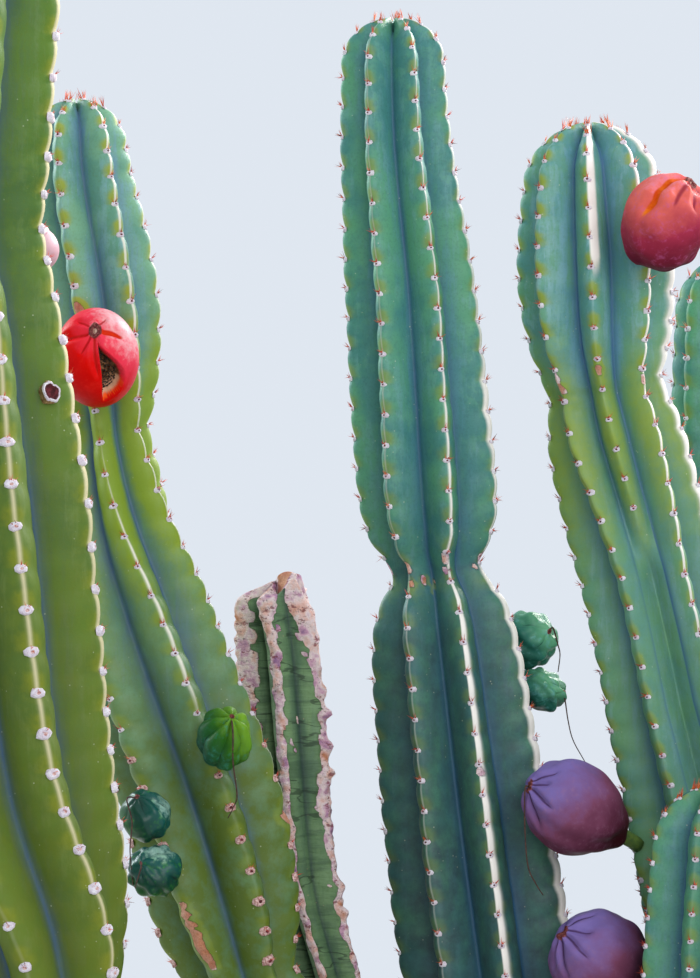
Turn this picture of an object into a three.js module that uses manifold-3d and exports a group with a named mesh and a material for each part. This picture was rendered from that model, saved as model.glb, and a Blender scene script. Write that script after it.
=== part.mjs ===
// Peruvian apple cactus: a clump of ribbed stems on one short woody trunk, with its fruit.
// Millimetres. +Z is up, -Y is the clump's front and +X its right, seen from the front.

import * as THREE from 'three';
import { mergeVertices } from 'three/addons/utils/BufferGeometryUtils.js';
import Module from 'manifold-3d';

const wasm = await Module();
wasm.setup();

// driving sizes
const clearance = 0.3; // between pieces that touch
const swell = 0.5; // how far a host is swelled before it cuts its neighbour
const ringSpacing = 115; // between two rings of a stem
const grooveDepth = 0.34; // depth of a groove between ribs, as a share of the rib radius
const footGroove = 0.4; // share of that depth left at a stem's foot
const grooveRise = 450; // length over which the grooves reach their full depth
const crestHalfWidth = 5; // half the width of a rib's rounded edge
const tipDome = 1; // height of a tip's dome, as a share of its radius
const stubDome = 0.3;
const walkSteps = 500; // samples along a stem's centreline
const waistRings = [-1.8, -0.7, 0.7, 1.8]; // rings beside a waist, in its spreads
const domeRings = [0.5, 0.8, 0.96]; // rings on a tip's dome, as shares of its height
const trunkFlare = 160; // trunk radius at the ground
const trunkGirth = 116; // trunk radius below the fork
const trunkHeight = 440; // from the ground to the top of the fork
const trunkSides = 24;
const flareLobes = 5; // low swellings round the trunk's foot
const flareLobe = 0.07; // their height as a share of the radius
const fruitSides = 10;
const fruitBands = 6; // from a fruit's neck to its tip
const fruitNeck = 8; // radius of a fruit's neck
const neckBite = 5; // how far a neck is sunk in its rib before it is cut clear

const colours = {
  bark: 0x85786a,
  blueGreen: 0x5b8768,
  olive: 0x6d8843,
  stub: 0x6f7a58,
  red: 0xd2382e,
  blush: 0xd9a3a0,
  purple: 0x7a4a66,
  plum: 0x9c3f4a,
  green: 0x5d8f2d,
  darkGreen: 0x2f5f4a,
};

// Each stem's centreline, from its foot inside the trunk to its tip, one row a point:
// x, y, z, radius at the rib edges, and the turn of its first rib in degrees from the front.
// A waist is where growth paused: its height, how much it narrows and how far that reaches.
// Pieces are split at the heights in cuts, and ribs holds one count for each piece.
const stems = [
  {
    name: 'centre_stem',
    pieces: ['lower', 'upper'],
    ribs: [7, 7],
    cuts: [1519],
    waists: [[1519, 0.42, 30]],
    colour: colours.blueGreen,
    path: [
      [0, 0, 330, 58, 10],
      [-14, 10, 500, 68, 10],
      [-50, 34, 720, 80, 10],
      [-92, 55, 950, 85, 10],
      [-131, 60, 1189, 87, 8],
      [-157, 60, 1389, 80, 14],
      [-178, 60, 1570, 75, 18],
      [-198, 60, 1789, 66, 21],
      [-213, 60, 1940, 56, 21],
      [-217, 60, 2074, 50, 21],
    ],
  },
  {
    name: 'right_stem',
    pieces: ['foot', 'lower', 'upper'],
    ribs: [7, 7, 8],
    cuts: [700, 1699],
    waists: [[1699, 0.22, 35]],
    colour: colours.blueGreen,
    path: [
      [15, 0, 330, 56, -14],
      [125, 10, 420, 66, -14],
      [175, 30, 560, 74, -14],
      [178, 50, 740, 78, -14],
      [140, 55, 1000, 77, -14],
      [97, 55, 1220, 76, -14],
      [66, 55, 1389, 73, -26],
      [40, 55, 1510, 71, -30],
      [-5, 55, 1699, 73, -7],
      [-15, 55, 1830, 78, -7],
      [-22, 55, 1969, 56, -7],
    ],
  },
  {
    name: 'left_stem',
    pieces: ['foot', 'lower', 'middle', 'upper'],
    ribs: [6, 6, 6, 6],
    cuts: [700, 1121, 1658],
    waists: [[1121, 0.3, 35], [1658, 0.2, 30]],
    colour: colours.blueGreen,
    path: [
      [-20, -8, 320, 56, 35],
      [-115, -30, 420, 66, 35],
      [-190, -48, 560, 74, 35],
      [-243, -50, 720, 78, 35],
      [-300, -38, 910, 77, 35],
      [-365, -25, 1121, 75, 35],
      [-406, -25, 1296, 78, 22],
      [-467, -25, 1472, 73, 20],
      [-493, -25, 1619, 51, -6],
      [-501, -25, 1785, 53, -27],
      [-524, -25, 1900, 51, -20],
      [-528, -25, 1984, 40, -20],
    ],
  },
  {
    name: 'front_left_stem',
    pieces: ['foot', 'lower', 'middle', 'upper'],
    ribs: [6, 6, 6, 6],
    cuts: [760, 1150, 1825],
    waists: [[1150, 0.16, 45], [1825, 0.06, 40]],
    colour: colours.olive,
    path: [
      [-40, -30, 170, 56, 60],
      [-165, -125, 280, 70, 60],
      [-290, -212, 430, 80, 60],
      [-395, -290, 610, 85, 60],
      [-470, -348, 800, 88, 60],
      [-516, -385, 980, 89, 60],
      [-533, -400, 1170, 90, 58],
      [-557, -400, 1340, 89, 29],
      [-575, -400, 1560, 89, 18],
      [-600, -400, 1723, 88, 25],
      [-615, -400, 1840, 88, 26],
      [-605, -400, 2033, 88, 26],
      [-600, -396, 2150, 83, 26],
      [-598, -392, 2290, 74, 26],
    ],
  },
  {
    name: 'stub_stem',
    dome: stubDome,
    pieces: ['foot', 'upper'],
    ribs: [5, 5],
    cuts: [740],
    waists: [],
    colour: colours.stub,
    path: [
      [-25, 35, 320, 38, 0],
      [-105, 110, 420, 44, 0],
      [-160, 150, 570, 48, 0],
      [-197, 145, 740, 48, 0],
      [-237, 112, 930, 45, 0],
      [-284, 74, 1111, 37, -4],
      [-308, 70, 1205, 38, -6],
      [-320, 70, 1320, 39, -8],
      [-328, 70, 1415, 42, -8],
      [-335, 70, 1510, 39, -8],
    ],
  },
  {
    name: 'back_right_stem',
    pieces: ['foot', 'lower', 'upper'],
    ribs: [7, 7, 7],
    cuts: [620, 1250],
    waists: [[1250, 0.28, 34]],
    colour: colours.blueGreen,
    path: [
      [25, 35, 160, 50, -20],
      [100, 143, 250, 62, -20],
      [172, 228, 390, 70, -20],
      [208, 262, 570, 74, -20],
      [205, 262, 780, 74, -20],
      [188, 252, 1010, 73, -20],
      [170, 240, 1250, 72, -20],
      [154, 232, 1480, 72, -12],
      [145, 230, 1680, 70, -5],
      [144, 230, 1849, 62, -5],
    ],
  },
  {
    name: 'far_right_stem',
    pieces: ['foot', 'lower', 'upper'],
    ribs: [8, 8, 8],
    cuts: [620, 1180],
    waists: [[1180, 0.24, 36]],
    colour: colours.blueGreen,
    path: [
      [30, 0, 170, 52, 5],
      [155, 0, 250, 66, 5],
      [275, 10, 370, 74, 5],
      [352, 30, 540, 79, 5],
      [380, 50, 740, 82, 5],
      [376, 62, 960, 81, 10],
      [358, 65, 1180, 80, 18],
      [338, 62, 1400, 77, 22],
      [322, 60, 1600, 74, 22],
      [312, 58, 1790, 70, 22],
      [308, 56, 1935, 62, 22],
    ],
  },
  {
    name: 'front_right_stem',
    pieces: ['foot', 'lower', 'upper'],
    ribs: [7, 7, 7],
    cuts: [600, 1010],
    waists: [[1010, 0.26, 32]],
    colour: colours.blueGreen,
    path: [
      [22, -24, 160, 50, 12],
      [117, -130, 245, 62, 12],
      [208, -212, 375, 70, 12],
      [268, -252, 550, 75, 12],
      [285, -258, 760, 77, 12],
      [278, -250, 1010, 75, 16],
      [264, -240, 1220, 72, 20],
      [252, -232, 1400, 66, 24],
      [246, -228, 1520, 60, 24],
    ],
  },
  {
    name: 'young_front_stem',
    pieces: ['foot', 'upper'],
    ribs: [7, 7],
    cuts: [640],
    waists: [],
    colour: colours.blueGreen,
    path: [
      [10, -28, 330, 46, -20],
      [42, -128, 405, 54, -20],
      [84, -182, 530, 60, -20],
      [100, -175, 700, 64, -20],
      [92, -135, 880, 66, -20],
      [84, -100, 1040, 67, -20],
      [84, -91, 1150, 66, -20],
      [88, -90, 1240, 62, -20],
      [91, -90, 1316, 54, -20],
    ],
  },
  {
    name: 'back_stem',
    pieces: ['foot', 'upper'],
    ribs: [7, 7],
    cuts: [600],
    waists: [],
    colour: colours.blueGreen,
    path: [
      [8, 28, 330, 48, 30],
      [25, 128, 405, 58, 30],
      [12, 205, 540, 66, 30],
      [-24, 238, 710, 71, 30],
      [-78, 243, 900, 71, 30],
      [-122, 238, 1090, 69, 24],
      [-148, 232, 1270, 66, 18],
      [-158, 230, 1430, 58, 18],
    ],
  },
  {
    name: 'back_left_stem',
    pieces: ['foot', 'upper'],
    ribs: [7, 7],
    cuts: [520],
    waists: [],
    colour: colours.blueGreen,
    path: [
      [-25, 28, 170, 46, -10],
      [-108, 122, 262, 58, -10],
      [-200, 217, 385, 67, -10],
      [-262, 276, 550, 71, -10],
      [-290, 298, 730, 71, -10],
      [-300, 300, 900, 68, -6],
      [-302, 300, 1040, 58, -6],
    ],
  },
];

// Each fruit hangs from one rib of its stem: the height of its foot there, the rib's number,
// the middle of its body, its length, its width and how far it is stretched upright.
const fruits = [
  ['red_fruit', 'left_stem', 1706, 0, [-502, -112, 1726], 84, 80, 1.18, colours.red],
  ['blush_fruit', 'front_left_stem', 1794, 2, [-551, -318, 1816], 56, 52, 1, colours.blush],
  ['plum_fruit', 'right_stem', 1833, 1, [47, -46, 1860], 98, 82, 1.12, colours.plum],
  ['purple_fruit_upper', 'right_stem', 1262, 6, [-42, -26, 1289], 110, 90, 1, colours.purple],
  ['purple_fruit_lower', 'right_stem', 1112, 6, [-16, -34, 1141], 106, 94, 1, colours.purple],
  ['green_fruit_upper', 'centre_stem', 1451, 2, [-79, 98, 1449], 56, 50, 1.1, colours.green],
  ['green_fruit_lower', 'centre_stem', 1398, 2, [-67, 98, 1397], 48, 42, 1, colours.green],
  ['green_fruit_left', 'left_stem', 1348, 0, [-379, -131, 1363], 60, 53, 1.12, colours.green],
  ['dark_fruit_upper', 'left_stem', 1304, 5, [-455, -118, 1288], 54, 48, 1.06, colours.darkGreen],
  ['dark_fruit_lower', 'left_stem', 1246, 5, [-446, -122, 1235], 54, 50, 1, colours.darkGreen],
  ['far_right_red_fruit', 'far_right_stem', 1560, 2, [438, 66, 1580], 84, 78, 1, colours.red],
  ['far_right_green_fruit', 'far_right_stem', 1380, 3, [412, 158, 1392], 60, 54, 1, colours.green],
  ['back_purple_fruit', 'back_right_stem', 1440, 4, [100, 340, 1456], 96, 84, 1, colours.purple],
  ['front_right_fruit', 'front_right_stem', 1290, 1, [338, -304, 1306], 88, 80, 1, colours.plum],
];

// One value or row of values along a smooth curve through rows, at place t counted in rows.
function onCurve(rows, t) {
  const last = rows.length - 1;
  const i = Math.min(Math.floor(t), last - 1);
  const f = t - i;
  const b = rows[i];
  const c = rows[i + 1];
  const a = i > 0 ? rows[i - 1] : b.map((v, k) => 2 * v - c[k]);
  const d = i + 2 <= last ? rows[i + 2] : c.map((v, k) => 2 * v - b[k]);
  return b.map((v, k) => v + 0.5 * f * (c[k] - a[k]
    + f * (2 * a[k] - 5 * v + 4 * c[k] - d[k] + f * (3 * (v - c[k]) + d[k] - a[k]))));
}

// Walk a stem from tip to foot, carrying its section frame: side is 90 degrees, front is 0.
function walkStem(stem) {
  const walk = [];
  let side = new THREE.Vector3(1, 0, 0);
  for (let n = walkSteps; n >= 0; n -= 1) {
    const t = (n / walkSteps) * (stem.path.length - 1);
    const nudge = 0.01;
    const row = onCurve(stem.path, t);
    const ahead = onCurve(stem.path, Math.min(t + nudge, stem.path.length - 1));
    const behind = onCurve(stem.path, Math.max(t - nudge, 0));
    const along = new THREE.Vector3(ahead[0] - behind[0], ahead[1] - behind[1], ahead[2] - behind[2]);
    along.normalize();
    side = side.clone().addScaledVector(along, -side.dot(along)).normalize();
    walk.unshift({
      centre: new THREE.Vector3(row[0], row[1], row[2]),
      along,
      side,
      front: new THREE.Vector3().crossVectors(side, along),
      radius: row[3],
      turn: row[4],
    });
  }
  walk[0].reach = 0;
  for (let n = 1; n <= walkSteps; n += 1) {
    walk[n].reach = walk[n - 1].reach + walk[n].centre.distanceTo(walk[n - 1].centre);
  }
  return walk;
}

function domeHeight(stem) {
  return (stem.dome ?? tipDome) * stem.walk[walkSteps].radius;
}

// The stem's centre, frame, radius and turn at a distance from its foot.
function stationAt(stem, reach) {
  const walk = stem.walk;
  let n = 1;
  while (n < walk.length - 1 && walk[n].reach < reach) {
    n += 1;
  }
  const a = walk[n - 1];
  const b = walk[n];
  const f = (reach - a.reach) / (b.reach - a.reach);
  const centre = a.centre.clone().lerp(b.centre, f);
  const along = a.along.clone().lerp(b.along, f).normalize();
  const side = a.side.clone().lerp(b.side, f);
  side.addScaledVector(along, -side.dot(along)).normalize();
  const front = new THREE.Vector3().crossVectors(side, along);
  let radius = a.radius + f * (b.radius - a.radius);
  for (const [height, narrowing, spread] of stem.waists) {
    radius *= 1 - narrowing / (1 + ((centre.z - height) / spread) ** 2);
  }
  const dome = domeHeight(stem);
  const intoDome = (reach - (stem.length - dome)) / dome;
  radius *= Math.sqrt(Math.max(0, 1 - Math.max(0, intoDome) ** 2));
  const turn = a.turn + f * (b.turn - a.turn);
  return { centre, side, front, radius, turn, reach };
}

// The distance from the foot at which the stem passes a height.
function reachAtHeight(stem, height) {
  const n = stem.walk.findIndex((station) => station.centre.z >= height);
  const a = stem.walk[n - 1];
  const b = stem.walk[n];
  return a.reach + ((height - a.centre.z) / (b.centre.z - a.centre.z)) * (b.reach - a.reach);
}

function pointOnSection(station, degrees, radius) {
  const angle = THREE.MathUtils.degToRad(degrees);
  return station.centre.clone()
    .addScaledVector(station.side, radius * Math.sin(angle))
    .addScaledVector(station.front, radius * Math.cos(angle));
}

// A ring of the stem: for each rib its groove, then the two corners of its edge.
function stemRing(station, ribs, grow) {
  const depth = grooveDepth * (footGroove + (1 - footGroove) * Math.min(1, station.reach / grooveRise));
  const pitch = 360 / ribs;
  const edge = Math.min(THREE.MathUtils.radToDeg(crestHalfWidth / station.radius), pitch / 5);
  const ring = [];
  for (let k = 0; k < ribs; k += 1) {
    const middle = station.turn + k * pitch;
    ring.push(pointOnSection(station, middle - pitch / 2, station.radius * (1 - depth) + grow));
    ring.push(pointOnSection(station, middle - edge, station.radius + grow));
    ring.push(pointOnSection(station, middle + edge, station.radius + grow));
  }
  return ring;
}

// A closed skin over rings of equal count, with a point in the middle of each end.
function skin(rings, footPoint, tipPoint) {
  const count = rings[0].length;
  const points = [...rings.flat(), footPoint, tipPoint];
  const foot = rings.length * count;
  const faces = [];
  for (let j = 0; j < count; j += 1) {
    const next = (j + 1) % count;
    faces.push(foot, next, j);
    for (let i = 0; i < rings.length - 1; i += 1) {
      const a = i * count;
      const b = a + count;
      faces.push(a + j, a + next, b + next);
      faces.push(a + j, b + next, b + j);
    }
    const top = (rings.length - 1) * count;
    faces.push(foot + 1, top + j, top + next);
  }
  const geometry = new THREE.BufferGeometry();
  const positions = points.flatMap((point) => point.toArray());
  geometry.setAttribute('position', new THREE.Float32BufferAttribute(positions, 3));
  geometry.setIndex(faces);
  return geometry;
}

function toSolid(geometry) {
  return new wasm.Manifold(new wasm.Mesh({
    numProp: 3,
    vertProperties: new Float32Array(geometry.attributes.position.array),
    triVerts: new Uint32Array(geometry.index.array),
  }));
}

function toMesh(name, solid, colour, roughness) {
  const result = solid.getMesh();
  const geometry = new THREE.BufferGeometry();
  geometry.setAttribute('position', new THREE.Float32BufferAttribute(result.vertProperties, 3));
  geometry.setIndex([...result.triVerts]);
  geometry.computeVertexNormals();
  const material = new THREE.MeshStandardMaterial({ color: colour, roughness, metalness: 0 });
  const mesh = new THREE.Mesh(geometry, material);
  mesh.name = name;
  return mesh;
}

// One piece of a stem between two distances from its foot, grown outward by grow.
function stemPiece(stem, from, to, ribs, grow) {
  const atTip = to >= stem.length;
  const dome = domeHeight(stem);
  const bodyEnd = atTip ? stem.length - dome : to;
  const spans = Math.max(1, Math.round((bodyEnd - from) / ringSpacing));
  const reaches = [];
  for (let i = 0; i <= spans; i += 1) {
    reaches.push(from + ((bodyEnd - from) * i) / spans);
  }
  for (const [height, , spread] of stem.waists) {
    const waist = reachAtHeight(stem, height);
    reaches.push(...waistRings.map((step) => waist + step * spread));
  }
  const kept = reaches.filter((reach) => reach >= from && reach <= bodyEnd).sort((a, b) => a - b);
  if (atTip) {
    kept.push(...domeRings.map((share) => bodyEnd + share * dome));
  }
  const rings = kept.map((reach) => stemRing(stationAt(stem, reach), ribs, grow));
  const foot = stationAt(stem, from).centre;
  const tip = atTip ? stem.walk[walkSteps].centre : stationAt(stem, to).centre;
  return skin(rings, foot, tip);
}

function buildTrunk(grow) {
  const profile = [
    [0, trunkFlare], [22, 142], [60, 127], [130, 119], [230, trunkGirth],
    [330, 118], [390, 104], [425, 66], [trunkHeight, 22],
  ];
  const rings = profile.map(([height, radius]) => {
    const ring = [];
    const flare = (radius - trunkGirth) / (trunkFlare - trunkGirth);
    for (let j = 0; j < trunkSides; j += 1) {
      const angle = (j / trunkSides) * 2 * Math.PI;
      const lobe = 1 + flareLobe * Math.max(0, flare) * Math.cos(flareLobes * angle);
      const reach = radius * lobe + grow;
      const level = height * (1 + grow / trunkHeight);
      ring.push(new THREE.Vector3(reach * Math.cos(angle), reach * Math.sin(angle), level));
    }
    return ring;
  });
  const crown = trunkHeight + 2 + grow;
  return toSolid(skin(rings, new THREE.Vector3(0, 0, 0), new THREE.Vector3(0, 0, crown)));
}

// A fruit's body and neck as one turned solid, its own axis along +Y before it is placed.
function buildFruit(foot, middle, length, width, tall) {
  const axis = middle.clone().sub(foot);
  const neckLength = axis.length() - length / 2;
  const profile = [new THREE.Vector2(0, -length / 2 - neckLength - neckBite)];
  profile.push(new THREE.Vector2(fruitNeck, -length / 2 - neckLength - neckBite));
  for (let i = 1; i < fruitBands; i += 1) {
    const angle = (i / fruitBands) * Math.PI;
    profile.push(new THREE.Vector2(0.5 * width * Math.sin(angle), -0.5 * length * Math.cos(angle)));
  }
  profile.push(new THREE.Vector2(0, length / 2));
  const lathe = new THREE.LatheGeometry(profile, fruitSides);
  lathe.deleteAttribute('normal');
  lathe.deleteAttribute('uv');
  const upright = new THREE.Vector3(0, 1, 0);
  lathe.applyQuaternion(new THREE.Quaternion().setFromUnitVectors(upright, axis.clone().normalize()));
  lathe.scale(1, 1, tall);
  lathe.translate(middle.x, middle.y, middle.z);
  return toSolid(mergeVertices(lathe, 0.001));
}

const group = new THREE.Group();
const trunk = buildTrunk(0);
const swelledTrunk = buildTrunk(swell);
group.add(toMesh('trunk', trunk, colours.bark, 0.9));

const swelledStems = {};
for (const stem of stems) {
  stem.walk = walkStem(stem);
  stem.length = stem.walk[walkSteps].reach;
  const splits = stem.cuts.map((height) => reachAtHeight(stem, height));
  const swelledPieces = [];
  stem.pieces.forEach((piece, i) => {
    const from = i === 0 ? 0 : splits[i - 1] + clearance / 2;
    const to = i === stem.pieces.length - 1 ? stem.length : splits[i] - clearance / 2;
    let solid = toSolid(stemPiece(stem, from, to, stem.ribs[i], 0));
    if (i === 0) {
      solid = solid.subtract(swelledTrunk);
      for (const earlier of Object.values(swelledStems)) {
        solid = solid.subtract(earlier[0]);
      }
    }
    group.add(toMesh(`${stem.name}_${piece}`, solid, stem.colour, 0.5));
    const swelledFrom = Math.max(0, from - swell);
    const swelledTo = Math.min(stem.length, to + swell);
    swelledPieces.push(toSolid(stemPiece(stem, swelledFrom, swelledTo, stem.ribs[i], swell)));
  });
  swelledStems[stem.name] = swelledPieces;
}

for (const [name, stemName, height, rib, middle, length, width, tall, colour] of fruits) {
  const stem = stems.find((candidate) => candidate.name === stemName);
  const station = stationAt(stem, reachAtHeight(stem, height));
  const above = stem.cuts.filter((cut) => height > cut).length;
  const foot = pointOnSection(station, station.turn + (rib * 360) / stem.ribs[above], station.radius);
  let solid = buildFruit(foot, new THREE.Vector3(...middle), length, width, tall);
  for (const piece of swelledStems[stemName]) {
    solid = solid.subtract(piece);
  }
  group.add(toMesh(name, solid, colour, 0.35));
}

export default group;
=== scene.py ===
import math

import bpy
import numpy as np
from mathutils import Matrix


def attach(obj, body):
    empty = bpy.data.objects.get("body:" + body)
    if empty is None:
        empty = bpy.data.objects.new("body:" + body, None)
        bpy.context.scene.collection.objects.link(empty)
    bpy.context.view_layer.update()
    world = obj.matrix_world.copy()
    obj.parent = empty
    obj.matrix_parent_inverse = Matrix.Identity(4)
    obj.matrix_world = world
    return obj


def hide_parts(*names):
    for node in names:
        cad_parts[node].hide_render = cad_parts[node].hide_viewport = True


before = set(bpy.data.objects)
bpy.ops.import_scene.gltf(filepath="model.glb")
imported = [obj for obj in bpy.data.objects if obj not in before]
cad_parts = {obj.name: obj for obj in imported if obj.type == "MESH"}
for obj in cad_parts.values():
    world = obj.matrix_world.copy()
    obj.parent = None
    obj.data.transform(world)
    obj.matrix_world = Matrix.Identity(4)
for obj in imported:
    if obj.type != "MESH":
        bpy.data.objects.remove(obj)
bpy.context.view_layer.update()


def linear(code):
    # a screen colour as the shaders take it
    parts = [int(code[i:i + 2], 16) / 255 for i in (0, 2, 4)]
    return [p / 12.92 if p <= 0.04045 else ((p + 0.055) / 1.055) ** 2.4 for p in parts] + [1]


class Wire:
    # an output that can be used in sums
    def __init__(self, finish, socket):
        self.finish = finish
        self.socket = socket

    def isValue(self):
        return self.socket.type == "VALUE"

    def join(self, operation, first, second):
        values = all(not isinstance(side, Wire) or side.isValue() for side in (first, second))
        kind = "Math" if values else "VectorMath"
        sides = [(s, s, s) if not values and isinstance(s, (int, float)) else s for s in (first, second)]
        return self.finish.node(kind, {"operation": operation}, {0: sides[0], 1: sides[1]})

    def __add__(self, other):
        return self.join("ADD", self, other)

    def __radd__(self, other):
        return self.join("ADD", other, self)

    def __sub__(self, other):
        return self.join("SUBTRACT", self, other)

    def __rsub__(self, other):
        return self.join("SUBTRACT", other, self)

    def __mul__(self, other):
        return self.join("MULTIPLY", self, other)

    def __rmul__(self, other):
        return self.join("MULTIPLY", other, self)

    def step(self, low, high):
        # 0 below low, 1 above high, smooth between them
        return self.finish.node("MapRange", {"interpolation_type": "SMOOTHSTEP"},
                                {"Value": self, "From Min": low, "From Max": high})


class Finish:
    # a material under construction
    def __init__(self, name):
        self.material = bpy.data.materials.new(name)
        self.material.use_nodes = True
        self.tree = self.material.node_tree
        self.tree.nodes.clear()

    def node(self, kind, settings=None, sockets=None, out=0):
        made = self.tree.nodes.new("ShaderNode" + kind)
        for key, value in (settings or {}).items():
            if key == "stops":
                ramp = made.color_ramp
                while len(ramp.elements) < len(value):
                    ramp.elements.new(1)
                for element, (place, colour) in zip(ramp.elements, value):
                    element.position = place
                    element.color = colour
            else:
                setattr(made, key, value)
        for key, value in (sockets or {}).items():
            if isinstance(value, Wire):
                self.tree.links.new(value.socket, made.inputs[key])
            else:
                made.inputs[key].default_value = value
        return Wire(self, made.outputs[out]) if len(made.outputs) else None

    def mark(self, name):
        # a value kept on the mesh's own points
        return self.node("Attribute", {"attribute_name": name}, out="Fac")

    def place(self):
        return self.node("TexCoord", out="Object")

    def noise(self, place, scale, detail=3, roughness=0.5, stretch=None):
        if stretch:
            place = place * self.node("CombineXYZ", None, dict(zip("XYZ", stretch)))
        return self.node("TexNoise", None, {"Vector": place, "Scale": scale, "Detail": detail,
                                            "Roughness": roughness})

    def cells(self, place, scale):
        return self.node("TexVoronoi", None, {"Vector": place, "Scale": scale}, out="Distance")

    def mix(self, factor, first, second):
        # either side may be a screen colour's code
        first, second = (linear(side) if isinstance(side, str) else side for side in (first, second))
        return self.node("Mix", {"data_type": "RGBA"}, {0: factor, 6: first, 7: second}, out=2)

    def ramp(self, value, stops):
        return self.node("ValToRGB", {"stops": [(p, linear(c)) for p, c in stops]}, {"Fac": value})

    def cover(self, colour, roughness, height=None, depth=0.001, fixed=None):
        # the surface itself; fixed holds what is the same all over
        sockets = {"Base Color": colour, "Roughness": roughness, **(fixed or {})}
        if height is not None:
            sockets["Normal"] = self.node("Bump", None, {"Strength": 1, "Distance": depth, "Height": height})
        shader = self.node("BsdfPrincipled", None, sockets)
        self.node("OutputMaterial", None, {"Surface": shader})
        return self.material


# what a skin has unless its own dictionary says otherwise
plainSkin = {
    "pale": "f6f0e8", "fleck": "d8dcc0", "sunned": 0.9, "edgeHighlight": 0.06, "gloss": 0.42, "shine": 0.4,
    "wrinkled": 0.1,
}


def stemSkin(name, own):
    # ribbed skin under a glaucous bloom: blue in the grooves, and under each cushion of spines a blue that is
    # partly bloom and partly painted highlight on the swelling there, yellow above the next; painted shade on
    # the groove floors and low on the stem, painted highlight along the rib edges and in pale sunlit strips
    tones = {**plainSkin, **own}
    look = Finish(name)
    place = look.place()
    crest, sun, cork, wood, age = (look.mark(m) for m in ("crest", "sun", "cork", "wood", "age"))
    pale, yellow = look.mark("pale"), look.mark("yellow")
    broad = look.noise(place, 13, 5, 0.6)
    blotch = look.noise(place, 48, 5, 0.65)
    grain = look.noise(place, 420, 4, 0.6)
    streak = look.noise(place, 75, 6, 0.7, (1, 1, 0.12))
    dots = look.cells(place, 130)
    valley = 1 - crest
    green = look.mix(broad.step(0.4, 0.6), tones["side"], tones["deep"])
    green = look.mix((streak * 0.6 + blotch * 0.4).step(0.48, 0.62) * 0.55, green, tones["bloom"])
    green = look.mix((blotch * 0.7 + broad * 0.3).step(0.52, 0.62) * 0.5, green, tones["side"])
    green = look.mix(valley.step(0.25, 1.0) * (streak.step(0.35, 0.65) * 0.8 + 0.15), green, tones["groove"])
    # darker, greyer skin low on the stem: painted shade of its lower, shaded part, together with the older
    # skin's own duller tone
    green = look.mix(age * (0.2 + 1.1 * blotch), green, tones["agedAndShaded"])
    # painted shade: a dark line along the floor of each groove
    green = look.mix(valley.step(0.7, 1.1) * (0.5 + 0.9 * streak), green, tones["paintedShade"])
    green = look.mix(grain.step(0.48, 0.66) * 0.16, green, tones["agedAndShaded"])
    # under each areole: partly the skin's blue bloom, partly painted highlight where light catches the
    # swelling there
    green = look.mix((0 - sun).step(0.1, 0.9) * (0.15 + 0.75 * blotch), green, tones["bloom"])
    uneven = look.noise(place, 170, 3) * 0.8 + blotch
    sunlit = (sun * uneven).step(0.1, 0.85) * (1 - age * 0.55)
    green = look.mix(sunlit * tones["sunned"], green, tones["young"])
    green = look.mix((yellow * (0.55 + 0.9 * uneven)).step(0.15, 1.0) * 0.85, green, tones["ripe"])
    # painted highlight: a thin paler line along each rib's edge
    green = look.mix(crest.step(0.93, 1.0) * tones["edgeHighlight"], green, tones["edge"])
    # painted highlight: pale strips where sunlight catches chosen rib edges
    green = look.mix((pale * (0.8 + 0.4 * blotch)).step(0.1, 0.9), green, tones["pale"])
    green = look.mix((1 - dots.step(0.05, 0.12)) * blotch.step(0.5, 0.6) * 0.4, green, tones["fleck"])
    # corky scars: pink and lilac, specked with brown and cracked
    rough = look.noise(place, 230, 6, 0.72)
    patches = look.noise(place, 65, 4)
    cracks = look.noise(place, 120, 6, 0.75, (0.7, 0.7, 1.3))
    corky = look.ramp(patches, [(0.3, "a87ca6"), (0.4, "dcaac2"), (0.5, "fce6e6"), (0.62, "f4c4b8"),
                                (0.74, "d48c68")])
    corky = look.mix(cracks.step(0.55, 0.62) * 0.85, corky, "8c4448")
    corky = look.mix(rough.step(0.58, 0.68) * 0.85, corky, "4f2530")
    fresh = look.ramp(streak, [(0.3, "9a5030"), (0.45, "c87c50"), (0.6, "dc9c78"), (0.72, "eec4ac")])
    corky = look.mix(sun.step(0.8, 1.2) * 0.85, corky, fresh)
    wrinkle = look.noise(place, 110, 4, 0.6, (0.12, 0.12, 1))
    if tones["wrinkled"] > 1:
        # upright shade and thin dark cracks across the ribs
        green = look.mix(wrinkle.step(0.5, 0.62) * 0.3, green, tones["paintedShade"])
        line = look.noise(place, 34, 4, 0.5, (0.16, 0.16, 1)) - 0.5
        green = look.mix((1 - (line * line).step(0.00001, 0.00012)) * 0.6, green, "1c2820")
    green = look.mix(cork.step(0.02, 0.4) * streak.step(0.4, 0.6) * 0.5, green, tones["agedAndShaded"])
    corkMask = (cork + 0.5 * blotch + 0.25 * grain - 0.37).step(0.44, 0.54)
    colour = look.mix(corkMask, green, corky)
    barky = look.ramp(look.noise(place, 90, 6, 0.7, (1, 1, 0.35)),
                      [(0.3, "4b3d31"), (0.5, "85735f"), (0.7, "a99a86")])
    woodMask = (wood + 0.7 * (blotch - 0.5)).step(0.35, 0.75)
    colour = look.mix(woodMask, colour, barky)
    rise = 0.08 * grain + 0.2 * blotch + tones["wrinkled"] * wrinkle
    rise = rise - corkMask * (rough + cracks) * 2.6 + woodMask * look.noise(place, 110, 5, 0.7) * 1.5
    roughness = tones["gloss"] + 0.2 * grain + corkMask * 0.35 + woodMask * 0.3
    return look.cover(colour, roughness, rise, 0.0013, {"Specular IOR Level": tones["shine"]})


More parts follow.
